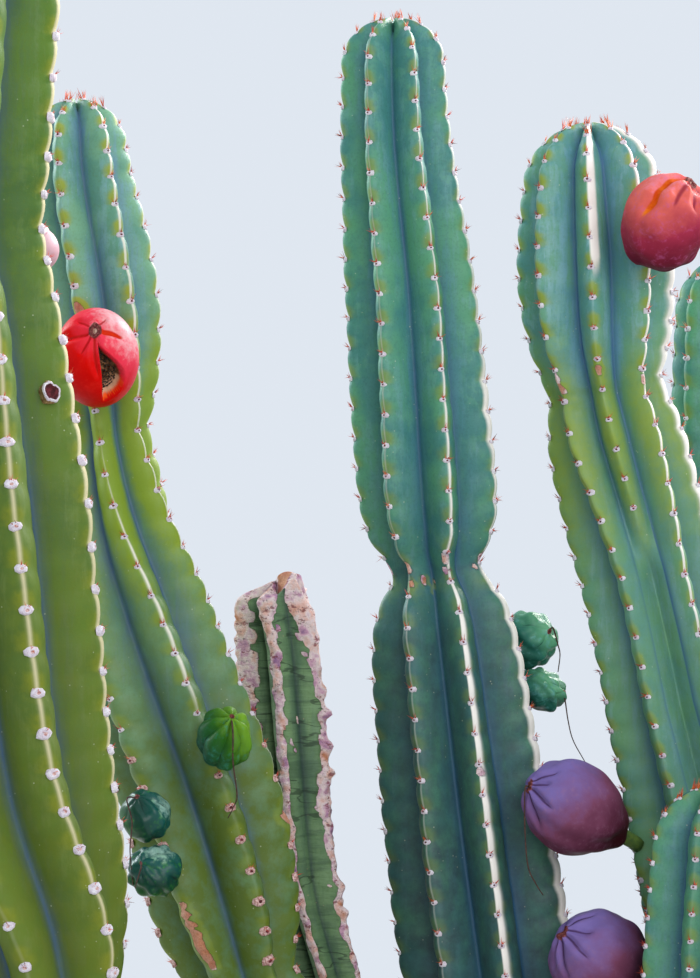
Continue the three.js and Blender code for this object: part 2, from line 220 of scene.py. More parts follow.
skins = {
    "glaucous": stemSkin("glaucous_skin", {
        "side": "569a74", "deep": "40827a", "agedAndShaded": "2a3c46", "bloom": "6ea2a2", "groove": "4c8694",
        "paintedShade": "2a5676", "young": "84962c", "ripe": "7f9636", "edge": "d9e6e4", "sunned": 0.64}),
    "olive": stemSkin("olive_skin", {
        "side": "587a28", "deep": "476c2e", "agedAndShaded": "666e18", "bloom": "6f8a50", "groove": "46624e",
        "paintedShade": "385674", "young": "94961c", "ripe": "94961c", "edge": "dcdcc4", "pale": "cec69c",
        "fleck": "dfe3c8", "sunned": 0.6, "edgeHighlight": 0.1, "gloss": 0.5, "shine": 0.25}),
    "yellowGreen": stemSkin("yellow_green_skin", {
        "side": "66a07e", "deep": "589490", "agedAndShaded": "5c8338", "bloom": "8eb8c6", "groove": "689ab6",
        "paintedShade": "2a5882", "young": "8f9f2a", "ripe": "8aa03a", "edge": "dfe8de"}),
    "mossy": stemSkin("mossy_skin", {
        "side": "76aa88", "deep": "5e9680", "agedAndShaded": "5a7026", "bloom": "88b2c4", "groove": "5a82a4",
        "paintedShade": "345678", "young": "98a420", "ripe": "88a010", "edge": "e0e4dc", "pale": "f0ecdc",
        "edgeHighlight": 0.03}),
    "scarred": stemSkin("scarred_skin", {
        "side": "7c9c70", "deep": "668660", "agedAndShaded": "465f2c", "bloom": "6a8870", "groove": "466450",
        "paintedShade": "283c38", "young": "587038", "ripe": "587038", "edge": "90a684", "pale": "90a684",
        "fleck": "d9a98c", "sunned": 0.4, "edgeHighlight": 0.1, "gloss": 0.5, "shine": 0.3, "wrinkled": 2.4}),
}


def woolFinish():
    look = Finish("areole_wool")
    place = look.place()
    fibres = look.noise(place, 900, 5, 0.7)
    tint = look.noise(place, 160, 3)
    colour = look.mix(tint.step(0.35, 0.65) * 0.6, "f3eef6", "d2bccc")
    colour = look.mix((1 - fibres).step(0.5, 0.75) * 0.5, colour, "9c7f90")
    return look.cover(colour, 0.85 + 0.1 * fibres, fibres, 0.0012)


def plainFinish(name, first, second, gloss, scale=300, bump=0.0004):
    # two close tones in fine grain, for small parts
    look = Finish(name)
    grain = look.noise(look.place(), scale, 4, 0.6)
    colour = look.mix(grain.step(0.35, 0.65), first, second)
    return look.cover(colour, gloss + 0.2 * grain, grain, bump)


wool = woolFinish()
woolOld = plainFinish("areole_wool_old", "eac8c2", "a8706a", 0.85, 500, 0.001)
feltBrown = plainFinish("areole_felt", "7a3038", "4a1d22", 0.8)
spineRed = plainFinish("spine_red", "e04a2e", "ac3222", 0.4)
spineAmber = plainFinish("spine_amber", "ea7832", "c8552a", 0.5)
spineBrown = plainFinish("spine_brown", "8a4a34", "5e3226", 0.5)
threadBrown = plainFinish("dried_thread", "5a3a30", "38231f", 0.7)
driedTan = plainFinish("dried_flower", "c9a070", "8a6038", 0.8, 200, 0.001)
seedBlack = plainFinish("seed_black", "1a1210", "2c201a", 0.25)
stalkGreen = plainFinish("stalk_green", "6f8a3c", "55743c", 0.5, 150)
print("finishes ready")


def makePiece(name, points, faces, finishes, slots=None, marks=None, stands=()):
    # faces is a list of index arrays; marks are values on the points
    mesh = bpy.data.meshes.new(name)
    points = np.asarray(points).reshape(-1, 3).tolist()
    mesh.from_pydata(points, [], [face for group in faces for face in group.tolist()])
    for finish in finishes:
        mesh.materials.append(finish)
    if slots is not None:
        mesh.polygons.foreach_set("material_index", np.asarray(slots, np.int32))
    mesh.polygons.foreach_set("use_smooth", np.ones(len(mesh.polygons), bool))
    for key, values in (marks or {}).items():
        kept = mesh.attributes.new(key, "FLOAT", "POINT")
        kept.data.foreach_set("value", np.asarray(values, np.float32).ravel())
    mesh.update()
    piece = bpy.data.objects.new(name, mesh)
    bpy.context.scene.collection.objects.link(piece)
    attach(piece, "root")
    if stands:
        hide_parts(*stands)


def gridFaces(rows, columns):
    # quads of a skin that closes round its columns
    row, column = np.meshgrid(np.arange(rows - 1), np.arange(columns), indexing="ij")
    after = (column + 1) % columns
    quads = [row * columns + column, (row + 1) * columns + column,
             (row + 1) * columns + after, row * columns + after]
    return np.stack(quads, -1).reshape(-1, 4)


def fan(centre, ring, upward):
    # triangles from a middle point to a ring
    after = np.roll(ring, -1)
    sides = (ring, after) if upward else (after, ring)
    return np.stack([np.full(len(ring), centre), *sides], 1)


def shellFaces(rows, columns, flipped=False):
    # the skin of a grid of points and a fan over each end, whose middles are the two points after it
    skin = gridFaces(rows, columns)
    first = np.arange(columns)
    last = first + (rows - 1) * columns
    return [skin[:, ::-1] if flipped else skin, fan(rows * columns, first, not flipped),
            fan(rows * columns + 1, last, flipped)]


def copyFaces(faces, corners, count):
    # the faces of many copies of a small shape
    return (np.arange(count)[:, None, None] * corners + faces).reshape(-1, faces.shape[1])


def withEnds(marks):
    # marks on a shell's points, each with what its two end points have
    return {key: np.append(values, ends) for key, (values, *ends) in marks.items()}


def roundTurn(count):
    # angles spread evenly round a circle
    return np.arange(count) / count * 2 * math.pi


def unit(vectors):
    return vectors / np.maximum(np.linalg.norm(vectors, axis=-1, keepdims=True), 1e-9)


def smooth(low, high, values):
    t = np.clip((values - low) / (high - low), 0, 1)
    return t * t * (3 - 2 * t)


def waves(seed, count, *axes):
    # soft seeded noise about 0: a sum of sines over axes given as (values, lowest, highest frequency)
    dice = np.random.default_rng(seed)
    total = 0
    for _ in range(count):
        inside = dice.uniform(0, 2 * math.pi)
        for values, low, high in axes:
            inside = inside + values * dice.uniform(low, high) * dice.choice([-1, 1])
        total = total + np.sin(inside)
    return total / math.sqrt(count)


stemForm = {
    "sideSteps": [0.06, 0.14, 0.25, 0.39, 0.55, 0.72, 0.88],  # columns from a rib's edge to its groove
    "coarseSteps": [0.1, 0.24, 0.46, 0.74],
    "samples": 4000,
    "ringsPerGap": 6,
    "crowded": 1.3, "crowdedGaps": 1.4,  # more areoles near the crown, and over how many gaps
    "chin": [0.12, 0.68, 0.98, 0.97, 0.82, 0.52],  # swelling of an edge from one areole down to the next
    "chinReach": 1.8, "chinSlant": 0.22,  # how fast it dies away from the edge, and how it slants there
    # the blue below an areole is partly painted highlight, where light catches the swelling there
    "sun": [0.8, -1.0, -0.5, 0.4, 0.95, 1.0],  # blue below an areole to yellow above the next
    "footGroove": 0.4, "grooveRise": 0.45,  # how deep a groove is at the foot, and how far up it is full
    "crownGroove": 0.45, "grooveRound": 0.16,
    "wander": 0.008, "tipDip": 0.16,  # both as a share of the radius
    "sideWidth": 0.034, "knobWidth": 0.28,
    "corkRise": 0.0030, "corkLumps": 0.0012,
    "woody": (0.06, 0.34),  # all wood nearer to the foot than the first, none beyond the second
    "bareFoot": 0.1, "bareCork": 0.6, "bareCrown": 0.28,  # no areoles there, the last in radians from the tip
    "crown": 1.35, "tuft": 0.8,  # areoles nearer to the tip than this, in radians
    "spotLower": 0.35,  # how far towards the ring below it an areole sits
    "crownSink": 0.05, "topReach": 0.055,
}

# what a stem has unless its own dictionary says otherwise
plainStem = {
    "ribs": 7, "skin": "glaucous", "bulge": 0.0028, "waists": [], "waistScars": [0.5], "coarse": False,
    "groove": 0.43,             # depth of a groove as a share of the radius
    "grooveShares": 1,
    "crestRound": [0.1, 0.3],   # how much of a side the rounded edge takes, at an areole and between two
    "dome": 1, "crownDip": 0.3, "tops": 0, "leanIn": {}, "knobs": [], "cork": {}, "scars": [],
    "paintedSunEdges": [], "yellow": [[1, 0], [2, 0]], "agedAndShaded": [[1, 0.4], [1.6, 0]],
    "pad": 0.0042, "padMiddle": 1, "padSwell": [[0, 1], [1, 1]], "oldPads": 0,
}

# path rows are x, y, z, radius at the edges and turn of the first rib; a waist is its height, how much it
# narrows and how far that reaches; layout rows are a height, the ribs' angles and how full the first rib is;
# a pale edge, a strip of painted highlight where sunlight catches a rib's edge, is its rib, its middle and
# rows of height, strength and half width; aged rows are a height and how much darker and greyer the skin
# turns, painted shade together with the older skin's own tone; a scar is its rib, height, place across the
# side and size, with a 1 where it is fresh and tan; a knob is its rib, height, size and rise
stems = {
    "centre_stem": {
        "pieces": ["lower", "upper"], "gap": 0.03, "bulge": 0.0036, "waists": [[1.519, 0.42, 0.03]],
        "waistScars": [0.46], "yellow": [[1.48, 0], [1.503, 0.35], [1.53, 0]],
        "paintedSunEdges": [[0, 0.05, [[1, 1, 0.12], [1.46, 1, 0.12], [1.53, 0.95, 0.07], [1.8, 0.75, 0.06],
                                 [2, 0.5, 0.05]]],
                      [1, -0.06, [[1, 1, 0.15], [1.5, 1, 0.14], [1.53, 0.7, 0.08], [1.6, 0.85, 0.09],
                                  [1.68, 1, 0.15], [1.73, 0.7, 0.1], [2, 0.6, 0.1]]],
                      [6, 0.02, [[1, 0.35, 0.05], [1.5, 0.4, 0.05], [2, 0.35, 0.05]]]],
        "scars": [[6, 1.525, 0, 0.0055], [6, 1.509, 0.08, 0.004, 1], [0, 1.532, -0.06, 0.0055],
                  [0, 1.519, -0.12, 0.0038], [6, 1.511, 0.58, 0.0042, 1], [0, 1.507, -0.93, 0.003, 1],
                  [6, 1.5, 0.96, 0.003, 1], [5, 1.526, 0, 0.005], [1, 1.529, -0.05, 0.005],
                  [1, 1.519, -0.3, 0.003], [0, 1.321, 0, 0.005]],
        "pad": 0.004, "agedAndShaded": [[1.2, 0.95], [1.45, 0.8], [1.53, 0.35], [1.7, 0]],
        "layout": [
            [0.5, [10, 61.4, 112.9, 164.3, 215.7, 267.1, 318.6]],
            [1.1, [8, 70, 122, 173.5, 225, 276, 327]],
            [1.19, [10, 72, 122.8, 173.5, 224.3, 275, 328]],
            [1.44, [12, 72, 122.8, 173.5, 224.3, 275, 329]],
            [1.489, [14, 74, 123, 174, 224, 274, 326]],
            [1.536, [10.5, 71, 123, 174, 224, 274, 317]],
            [1.553, [13.5, 70, 123, 175, 225, 274, 321]],
            [1.683, [17, 70, 123, 175, 226, 277, 327.5]],
            [1.789, [21, 72.4, 123.9, 175.3, 226.7, 278.1, 329.6]],
        ],
        "path": [
            [0, 0, 0.33, 0.058, 10], [-0.014, 0.01, 0.5, 0.068, 10], [-0.05, 0.034, 0.72, 0.08, 10],
            [-0.092, 0.055, 0.95, 0.085, 10], [-0.131, 0.06, 1.189, 0.087, 8],
            [-0.157, 0.06, 1.389, 0.08, 14], [-0.178, 0.06, 1.57, 0.075, 18],
            [-0.198, 0.06, 1.789, 0.066, 21], [-0.213, 0.06, 1.94, 0.056, 21],
            [-0.217, 0.06, 2.074, 0.05, 21],
        ],
    },
    "right_stem": {
        "pieces": ["foot", "lower", "upper"], "ribs": 8, "skin": "yellowGreen", "gap": 0.03,
        "bulge": 0.0042,
        "waists": [[1.699, 0.22, 0.035]], "waistScars": [0.48],
        "yellow": [[1.5, 0.1], [1.58, 0.45], [1.66, 0.65], [1.71, 0.5], [1.78, 0.15], [1.86, 0]],
        "paintedSunEdges": [[0, 0.14, [[1.8, 0, 0.16], [1.83, 1, 0.2], [1.97, 1, 0.2]]],
                      [1, 0.05, [[1.1, 0.6, 0.09], [1.78, 0.9, 0.1], [1.9, 1, 0.15]]],
                      [2, -0.08, [[1.1, 0.9, 0.2], [1.9, 1, 0.24]]]],
        "scars": [[0, 1.719, 0, 0.0055, 1], [7, 1.716, 0, 0.0055], [7, 1.707, 0.06, 0.0045, 1],
                  [1, 1.703, 0, 0.005]],
        "pad": 0.0041, "agedAndShaded": [[1.1, 0.6], [1.5, 0.5], [1.69, 0.6], [1.73, 0]],
        "layout": [
            [0.9, [11.7, 37.4, 88.9, 140.3, 191.7, 243.1, 294.6, 346], 0],
            [1.22, [11.7, 37.4, 88.9, 140.3, 191.7, 243.1, 294.6, 346], 0],
            [1.389, [-0.3, 25.4, 76.9, 128.3, 179.7, 231.1, 282.6, 334], 0],
            [1.514, [-0.5, 25, 76, 127.6, 179, 230.6, 282, 334], 0],
            [1.55, [-2, 27, 77, 128, 178, 229, 279, 331], 0.4],
            [1.6, [-4, 31, 79, 128, 176, 226, 274, 325], 0.75],
            [1.699, [-7, 38, 83, 128, 173, 218, 263, 308], 1],
        ],
        "path": [
            [0.015, 0, 0.33, 0.056, -14], [0.125, 0.01, 0.42, 0.066, -14], [0.175, 0.03, 0.56, 0.074, -14],
            [0.178, 0.05, 0.74, 0.078, -14], [0.14, 0.055, 1, 0.077, -14],
            [0.097, 0.055, 1.22, 0.076, -14], [0.066, 0.055, 1.389, 0.073, -26],
            [0.04, 0.055, 1.51, 0.071, -30], [-0.005, 0.055, 1.699, 0.073, -7],
            [-0.015, 0.055, 1.83, 0.078, -7], [-0.022, 0.055, 1.969, 0.056, -7],
        ],
    },
    "left_stem": {
        "pieces": ["foot", "lower", "middle", "upper"], "ribs": 6, "skin": "mossy", "gap": 0.031,
        "bulge": 0.005, "waists": [[1.121, 0.3, 0.035], [1.658, 0.2, 0.03]], "waistScars": [0.3, 0.3],
        "yellow": [[1.36, 0.1], [1.46, 0.3], [1.53, 0.55], [1.6, 1], [1.7, 1], [1.76, 0.4], [1.82, 0.1]],
        "agedAndShaded": [[1, 1.3], [1.28, 1.2], [1.42, 0.8], [1.62, 0.5], [1.72, 0]],
        "padSwell": [[1.1, 1.7], [1.3, 1.5], [1.37, 1]], "oldPads": 1.36,
        "paintedSunEdges": [[0, 0.06, [[1.34, 0, 0.09], [1.42, 0.9, 0.09], [1.52, 0.9, 0.08], [1.6, 0.5, 0.06],
                                 [1.66, 0.2, 0.06]]],
                      [1, 0.03, [[1.2, 0.4, 0.08], [1.5, 0.5, 0.08], [1.75, 0.7, 0.09], [1.95, 0.7, 0.09]]],
                      [2, -0.03, [[1.6, 0, 0.1], [1.75, 0.5, 0.1], [1.95, 0.5, 0.1]]]],
        "scars": [[5, 1.206, 0, 0.0045, 1], [5, 1.197, 0.01, 0.0055, 1], [5, 1.187, 0.02, 0.006, 1],
                  [5, 1.176, 0.04, 0.0065, 1], [5, 1.165, 0.06, 0.0065, 1], [5, 1.154, 0.09, 0.006, 1],
                  [5, 1.145, 0.11, 0.005, 1], [1, 1.262, 0, 0.007, 1], [0, 1.775, 0, 0.008, 1]],
        "path": [
            [-0.02, -0.008, 0.32, 0.056, 35], [-0.115, -0.03, 0.42, 0.066, 35],
            [-0.19, -0.048, 0.56, 0.074, 35], [-0.243, -0.05, 0.72, 0.078, 35],
            [-0.3, -0.038, 0.91, 0.077, 35], [-0.365, -0.025, 1.121, 0.075, 35],
            [-0.406, -0.025, 1.296, 0.078, 22], [-0.467, -0.025, 1.472, 0.073, 20],
            [-0.493, -0.025, 1.619, 0.051, -6], [-0.501, -0.025, 1.785, 0.053, -27],
            [-0.524, -0.025, 1.9, 0.051, -20], [-0.528, -0.025, 1.984, 0.04, -20],
        ],
    },
    "front_left_stem": {
        "pieces": ["foot", "lower", "middle", "upper"], "ribs": 6, "skin": "olive", "gap": 0.036,
        "bulge": 0.004,
        "paintedSunEdges": [[0, 0, [[1, 0.75, 0.08], [2.3, 0.75, 0.08]]],
                      [1, -0.05, [[1, 0.9, 0.11], [2.3, 0.9, 0.11]]]],
        "waists": [[1.15, 0.16, 0.045], [1.825, 0.06, 0.04]], "waistScars": [0.1, 0.1],
        "pad": 0.0066, "padMiddle": 2, "agedAndShaded": [[1.1, 0.75], [1.5, 0.5], [1.9, 0]],
        "path": [
            [-0.04, -0.03, 0.17, 0.056, 60], [-0.165, -0.125, 0.28, 0.07, 60],
            [-0.29, -0.212, 0.43, 0.08, 60], [-0.395, -0.29, 0.61, 0.085, 60],
            [-0.47, -0.348, 0.8, 0.088, 60], [-0.516, -0.385, 0.98, 0.089, 60],
            [-0.533, -0.4, 1.17, 0.09, 58], [-0.557, -0.4, 1.34, 0.089, 29],
            [-0.575, -0.4, 1.56, 0.089, 18], [-0.6, -0.4, 1.723, 0.088, 25],
            [-0.615, -0.4, 1.84, 0.088, 26], [-0.605, -0.4, 2.033, 0.088, 26],
            [-0.6, -0.396, 2.15, 0.083, 26], [-0.598, -0.392, 2.29, 0.074, 26],
        ],
    },
    "stub_stem": {
        "pieces": ["foot", "upper"], "ribs": 5, "skin": "scarred", "gap": 0.024, "bulge": 0.0012,
        "pad": 0.0034, "dome": 0.3, "crownDip": 1.5,
        "groove": 0.62, "crestRound": [0.26, 0.34], "grooveShares": [0.5, 0.9, 1, 0.9, 1],
        "layout": [
            [1, [0, 57, 142, 213, 284]], [1.113, [-2, 57, 142, 213, 284]],
            [1.218, [-6, 59, 142, 213, 284]], [1.328, [-8, 65, 142, 213, 282]],
            [1.409, [-5, 58, 142, 213, 280]], [1.44, [-7, 58, 142, 213, 280]],
            [1.494, [-22, 58, 142, 213, 280]],
        ],
        "tops": [-0.012, 0.012, -0.004, -0.006, -0.01], "tanTops": [0.5, 1, 1, 1, 0.35],
        "leanIn": {1: [[1.455, 1], [1.47, 0.95], [1.489, 0.7], [1.52, 0.5]]},
        "knobs": [[1, 1.373, 0.005, 0.009], [1, 1.34, 0.005, 0.009], [1, 1.313, 0.004, 0.009],
                  [1, 1.395, 0.008, 0.005], [1, 1.195, 0.008, 0.008], [1, 1.168, 0.006, 0.006],
                  [4, 1.385, 0.008, 0.005], [0, 1.36, 0.006, 0.002], [2, 1.33, 0.008, 0.004]],
        # cork on each rib, by height: how far it spreads down its left and right sides
        "cork": {
            0: [[0.9, 0, 0], [1.05, 0.05, 0.05], [1.1, 0.2, 0.1], [1.2, 0.2, 0.14], [1.3, 0.22, 0.16],
                [1.4, 0.2, 0.2], [1.47, 0.2, 0.24], [1.49, 0.3, 0.6]],
            1: [[0.85, 0, 0], [1.05, 0.12, 0.1], [1.15, 0.24, 0.2], [1.22, 0.2, 0.2], [1.262, 0.3, 0.3],
                [1.28, 0.62, 0.3], [1.3, 0.42, 0.35], [1.33, 0.25, 0.35], [1.41, 0.25, 0.3],
                [1.44, 0.45, 0.4],
                [1.465, 0.7, 0.5], [1.49, 1.05, 0.7]],
            2: [[0.95, 0, 0], [1.2, 0.2, 0.2], [1.49, 0.4, 0.4]],
            3: [[1, 0, 0], [1.25, 0.2, 0.2], [1.49, 0.5, 0.5]],
            4: [[1, 0, 0], [1.25, 0.25, 0.35], [1.37, 0.3, 0.5], [1.41, 0.6, 0.6], [1.47, 0.8, 0.6],
                [1.49, 0.9, 0.55]],
        },
        "scars": [[0, 1.37, 0.9, 0.004], [0, 1.348, 0.4, 0.004], [0, 1.34, 0.6, 0.004],
                  [1, 1.434, -0.5, 0.004], [1, 1.452, -0.75, 0.003], [0, 1.463, 0.4, 0.003],
                  [1, 1.2, -0.4, 0.003]],
        "path": [
            [-0.025, 0.035, 0.32, 0.038, 0], [-0.105, 0.11, 0.42, 0.044, 0], [-0.16, 0.15, 0.57, 0.048, 0],
            [-0.197, 0.145, 0.74, 0.048, 0], [-0.237, 0.112, 0.93, 0.045, 0],
            [-0.284, 0.074, 1.111, 0.037, -4], [-0.308, 0.07, 1.205, 0.038, -6],
            [-0.32, 0.07, 1.32, 0.039, -8], [-0.328, 0.07, 1.415, 0.042, -8],
            [-0.335, 0.07, 1.51, 0.039, -8],
        ],
    },
    "back_right_stem": {
        "pieces": ["foot", "lower", "upper"], "gap": 0.031, "waists": [[1.25, 0.28, 0.034]], "coarse": True,
        "path": [
            [0.025, 0.035, 0.16, 0.05, -20], [0.1, 0.143, 0.25, 0.062, -20],
            [0.172, 0.228, 0.39, 0.07, -20], [0.208, 0.262, 0.57, 0.074, -20],
            [0.205, 0.262, 0.78, 0.074, -20], [0.188, 0.252, 1.01, 0.073, -20],
            [0.17, 0.24, 1.25, 0.072, -20], [0.154, 0.232, 1.48, 0.072, -12],
            [0.145, 0.23, 1.68, 0.07, -5], [0.144, 0.23, 1.849, 0.062, -5],
        ],
    },
    "far_right_stem": {
        "pieces": ["foot", "lower", "upper"], "ribs": 8, "gap": 0.032, "waists": [[1.18, 0.24, 0.036]],
        "coarse": True,
        "path": [
            [0.03, 0, 0.17, 0.052, 5], [0.155, 0, 0.25, 0.066, 5], [0.275, 0.01, 0.37, 0.074, 5],
            [0.352, 0.03, 0.54, 0.079, 5], [0.38, 0.05, 0.74, 0.082, 5], [0.376, 0.062, 0.96, 0.081, 10],
            [0.358, 0.065, 1.18, 0.08, 18], [0.338, 0.062, 1.4, 0.077, 22], [0.322, 0.06, 1.6, 0.074, 22],
            [0.312, 0.058, 1.79, 0.07, 22], [0.308, 0.056, 1.935, 0.062, 22],
        ],
    },
    "front_right_stem": {
        "pieces": ["foot", "lower", "upper"], "gap": 0.031, "waists": [[1.01, 0.26, 0.032]], "coarse": True,
        "path": [
            [0.022, -0.024, 0.16, 0.05, 12], [0.117, -0.13, 0.245, 0.062, 12],
            [0.208, -0.212, 0.375, 0.07, 12], [0.268, -0.252, 0.55, 0.075, 12],
            [0.285, -0.258, 0.76, 0.077, 12], [0.278, -0.25, 1.01, 0.075, 16],
            [0.264, -0.24, 1.22, 0.072, 20], [0.252, -0.232, 1.4, 0.066, 24],
            [0.246, -0.228, 1.52, 0.06, 24],
        ],
    },
    "young_front_stem": {
        "pieces": ["foot", "upper"], "gap": 0.027, "bulge": 0.0026, "pad": 0.004,
        "path": [
            [0.01, -0.028, 0.33, 0.046, -20], [0.042, -0.128, 0.405, 0.054, -20],
            [0.084, -0.182, 0.53, 0.06, -20], [0.1, -0.175, 0.7, 0.064, -20],
            [0.092, -0.135, 0.88, 0.066, -20], [0.084, -0.1, 1.04, 0.067, -20],
            [0.084, -0.091, 1.15, 0.066, -20], [0.088, -0.09, 1.24, 0.062, -20],
            [0.091, -0.09, 1.316, 0.054, -20],
        ],
    },
    "back_stem": {
        "pieces": ["foot", "upper"], "gap": 0.03, "coarse": True,
        "path": [
            [0.008, 0.028, 0.33, 0.048, 30], [0.025, 0.128, 0.405, 0.058, 30],
            [0.012, 0.205, 0.54, 0.066, 30], [-0.024, 0.238, 0.71, 0.071, 30],
            [-0.078, 0.243, 0.9, 0.071, 30], [-0.122, 0.238, 1.09, 0.069, 24],
            [-0.148, 0.232, 1.27, 0.066, 18], [-0.158, 0.23, 1.43, 0.058, 18],
        ],
    },
    "back_left_stem": {
        "pieces": ["foot", "upper"], "gap": 0.03, "coarse": True,
        "path": [
            [-0.025, 0.028, 0.17, 0.046, -10], [-0.108, 0.122, 0.262, 0.058, -10],
            [-0.2, 0.217, 0.385, 0.067, -10], [-0.262, 0.276, 0.55, 0.071, -10],
            [-0.29, 0.298, 0.73, 0.071, -10], [-0.3, 0.3, 0.9, 0.068, -6], [-0.302, 0.3, 1.04, 0.058, -6],
        ],
    },
}


def onCurve(rows, t):
    # a smooth curve through the rows, at places t counted in rows
    last = len(rows) - 1
    i = np.minimum(np.floor(t).astype(int), last - 1)
    f = (t - i)[:, None]
    padded = np.vstack([2 * rows[0] - rows[1], rows, 2 * rows[-1] - rows[-2]])
    a, b, c, d = (padded[i + k] for k in range(4))
    return b + 0.5 * f * (c - a + f * (2 * a - 5 * b + 4 * c - d + f * (3 * (b - c) + d - a)))


def walkStem(path, count=500, nudge=0.01):
    # the centreline from foot to tip, with a frame carried down from the tip
    rows = np.array(path, float)
    last = len(rows) - 1
    t = np.linspace(0, last, count + 1)
    walk = onCurve(rows, t)
    ahead = onCurve(rows, np.minimum(t + nudge, last))[:, :3]
    along = unit(ahead - onCurve(rows, np.maximum(t - nudge, 0))[:, :3])
    sides = np.empty_like(along)
    side = np.array([1.0, 0, 0])
    for n in range(count, -1, -1):
        side = unit(side - along[n] * side.dot(along[n]))
        sides[n] = side
    reach = np.append(0, np.cumsum(np.linalg.norm(np.diff(walk[:, :3], axis=0), axis=1)))
    return {"rows": walk, "along": along, "side": sides, "reach": reach}


def stationsAt(stem, reach):
    # centre, frame, radius and turn at distances from the foot
    walk = stem["walk"]

    def read(table):
        return np.stack([np.interp(reach, walk["reach"], column) for column in table.T], 1)

    rows = read(walk["rows"])
    along = unit(read(walk["along"]))
    side = read(walk["side"])
    side = unit(side - along * (side * along).sum(1, keepdims=True))
    radius = rows[:, 3]
    for height, narrowing, spread in stem["waists"]:
        radius = radius * (1 - narrowing / (1 + ((rows[:, 2] - height) / spread) ** 2))
    return {"centre": rows[:, :3], "along": along, "side": side, "front": np.cross(side, along),
            "radius": radius, "turn": rows[:, 4], "reach": reach}


def sideProfile(steps, crestRound, grooveRound):
    # fall from a rib's edge to its groove: rounded at both, and rounded at the edge alone
    t = np.linspace(0, 1, 201)
    edge = t / np.sqrt(t ** 2 + crestRound ** 2)
    slope = edge * (1 - t) / np.sqrt((1 - t) ** 2 + grooveRound ** 2) * (0.85 + 0.3 * t)
    both = np.cumsum(slope) / slope.sum()
    alone = np.cumsum(edge) / edge.sum()
    return np.interp(steps, t, both), np.interp(steps, t, alone)


def fromRows(rows, places, column=1):
    # values at some places, from rows that each start with their place
    return np.interp(places, [row[0] for row in rows], [row[column] for row in rows])


def layoutRibs(stem, at):
    # each rib's angle and strength on each ring
    height = at["centre"][:, 2]
    if "layout" in stem:
        rows = stem["layout"]
        heights = [row[0] for row in rows]
        columns = zip(*(row[1] for row in rows))
        angles = np.stack([np.interp(height, heights, column) for column in columns], 1)
        strength = np.ones_like(angles)
        if len(rows[0]) > 2:
            strength[:, 0] = fromRows(rows, height, 2)
        return angles, strength
    angles = at["turn"][:, None] + np.arange(stem["ribs"]) * 360 / stem["ribs"]
    return angles, np.ones_like(angles)


def scarMarks(stem, z, across, turned, seed):
    # cork along the ribs' edges, in round scars and in rings at the waists, and where it is fresh and tan
    away = np.abs(across)
    cork = np.zeros_like(turned)
    tan = np.zeros_like(turned)
    tear = waves(seed, 12, (z + 0 * turned, 60, 330), (np.radians(turned), 3, 14))
    for rib, rows in stem["cork"].items():
        spread = np.where(across < 0, fromRows(rows, z[:, :, 0]), fromRows(rows, z[:, :, 0], 2))
        spread = spread + np.where(spread > 0.02, 0.07 * tear[:, rib], -0.2)
        cork[:, rib] = smooth(-0.06, 0.06, spread - away)
    for rib, high, sideways, size, *tanned in stem["scars"]:
        upright = (z[:, 0] - high) / size
        level = (across - sideways) * stemForm["sideWidth"] / size
        apart = np.sqrt(upright ** 2 + level ** 2)
        cork[:, rib] = np.maximum(cork[:, rib], 1 - smooth(0.6, 1.2, apart))
        if tanned:
            tan[:, rib] = np.maximum(tan[:, rib], 1.2 * smooth(2, 1.3, apart))
    for (high, _, _), mark in zip(stem["waists"], stem["waistScars"]):
        band = np.exp(-((z - high + 0.004 * tear) / 0.007) ** 2) * mark
        cork = np.maximum(cork, band * (0.35 + 0.65 * (1 - away)))
    return cork, tan


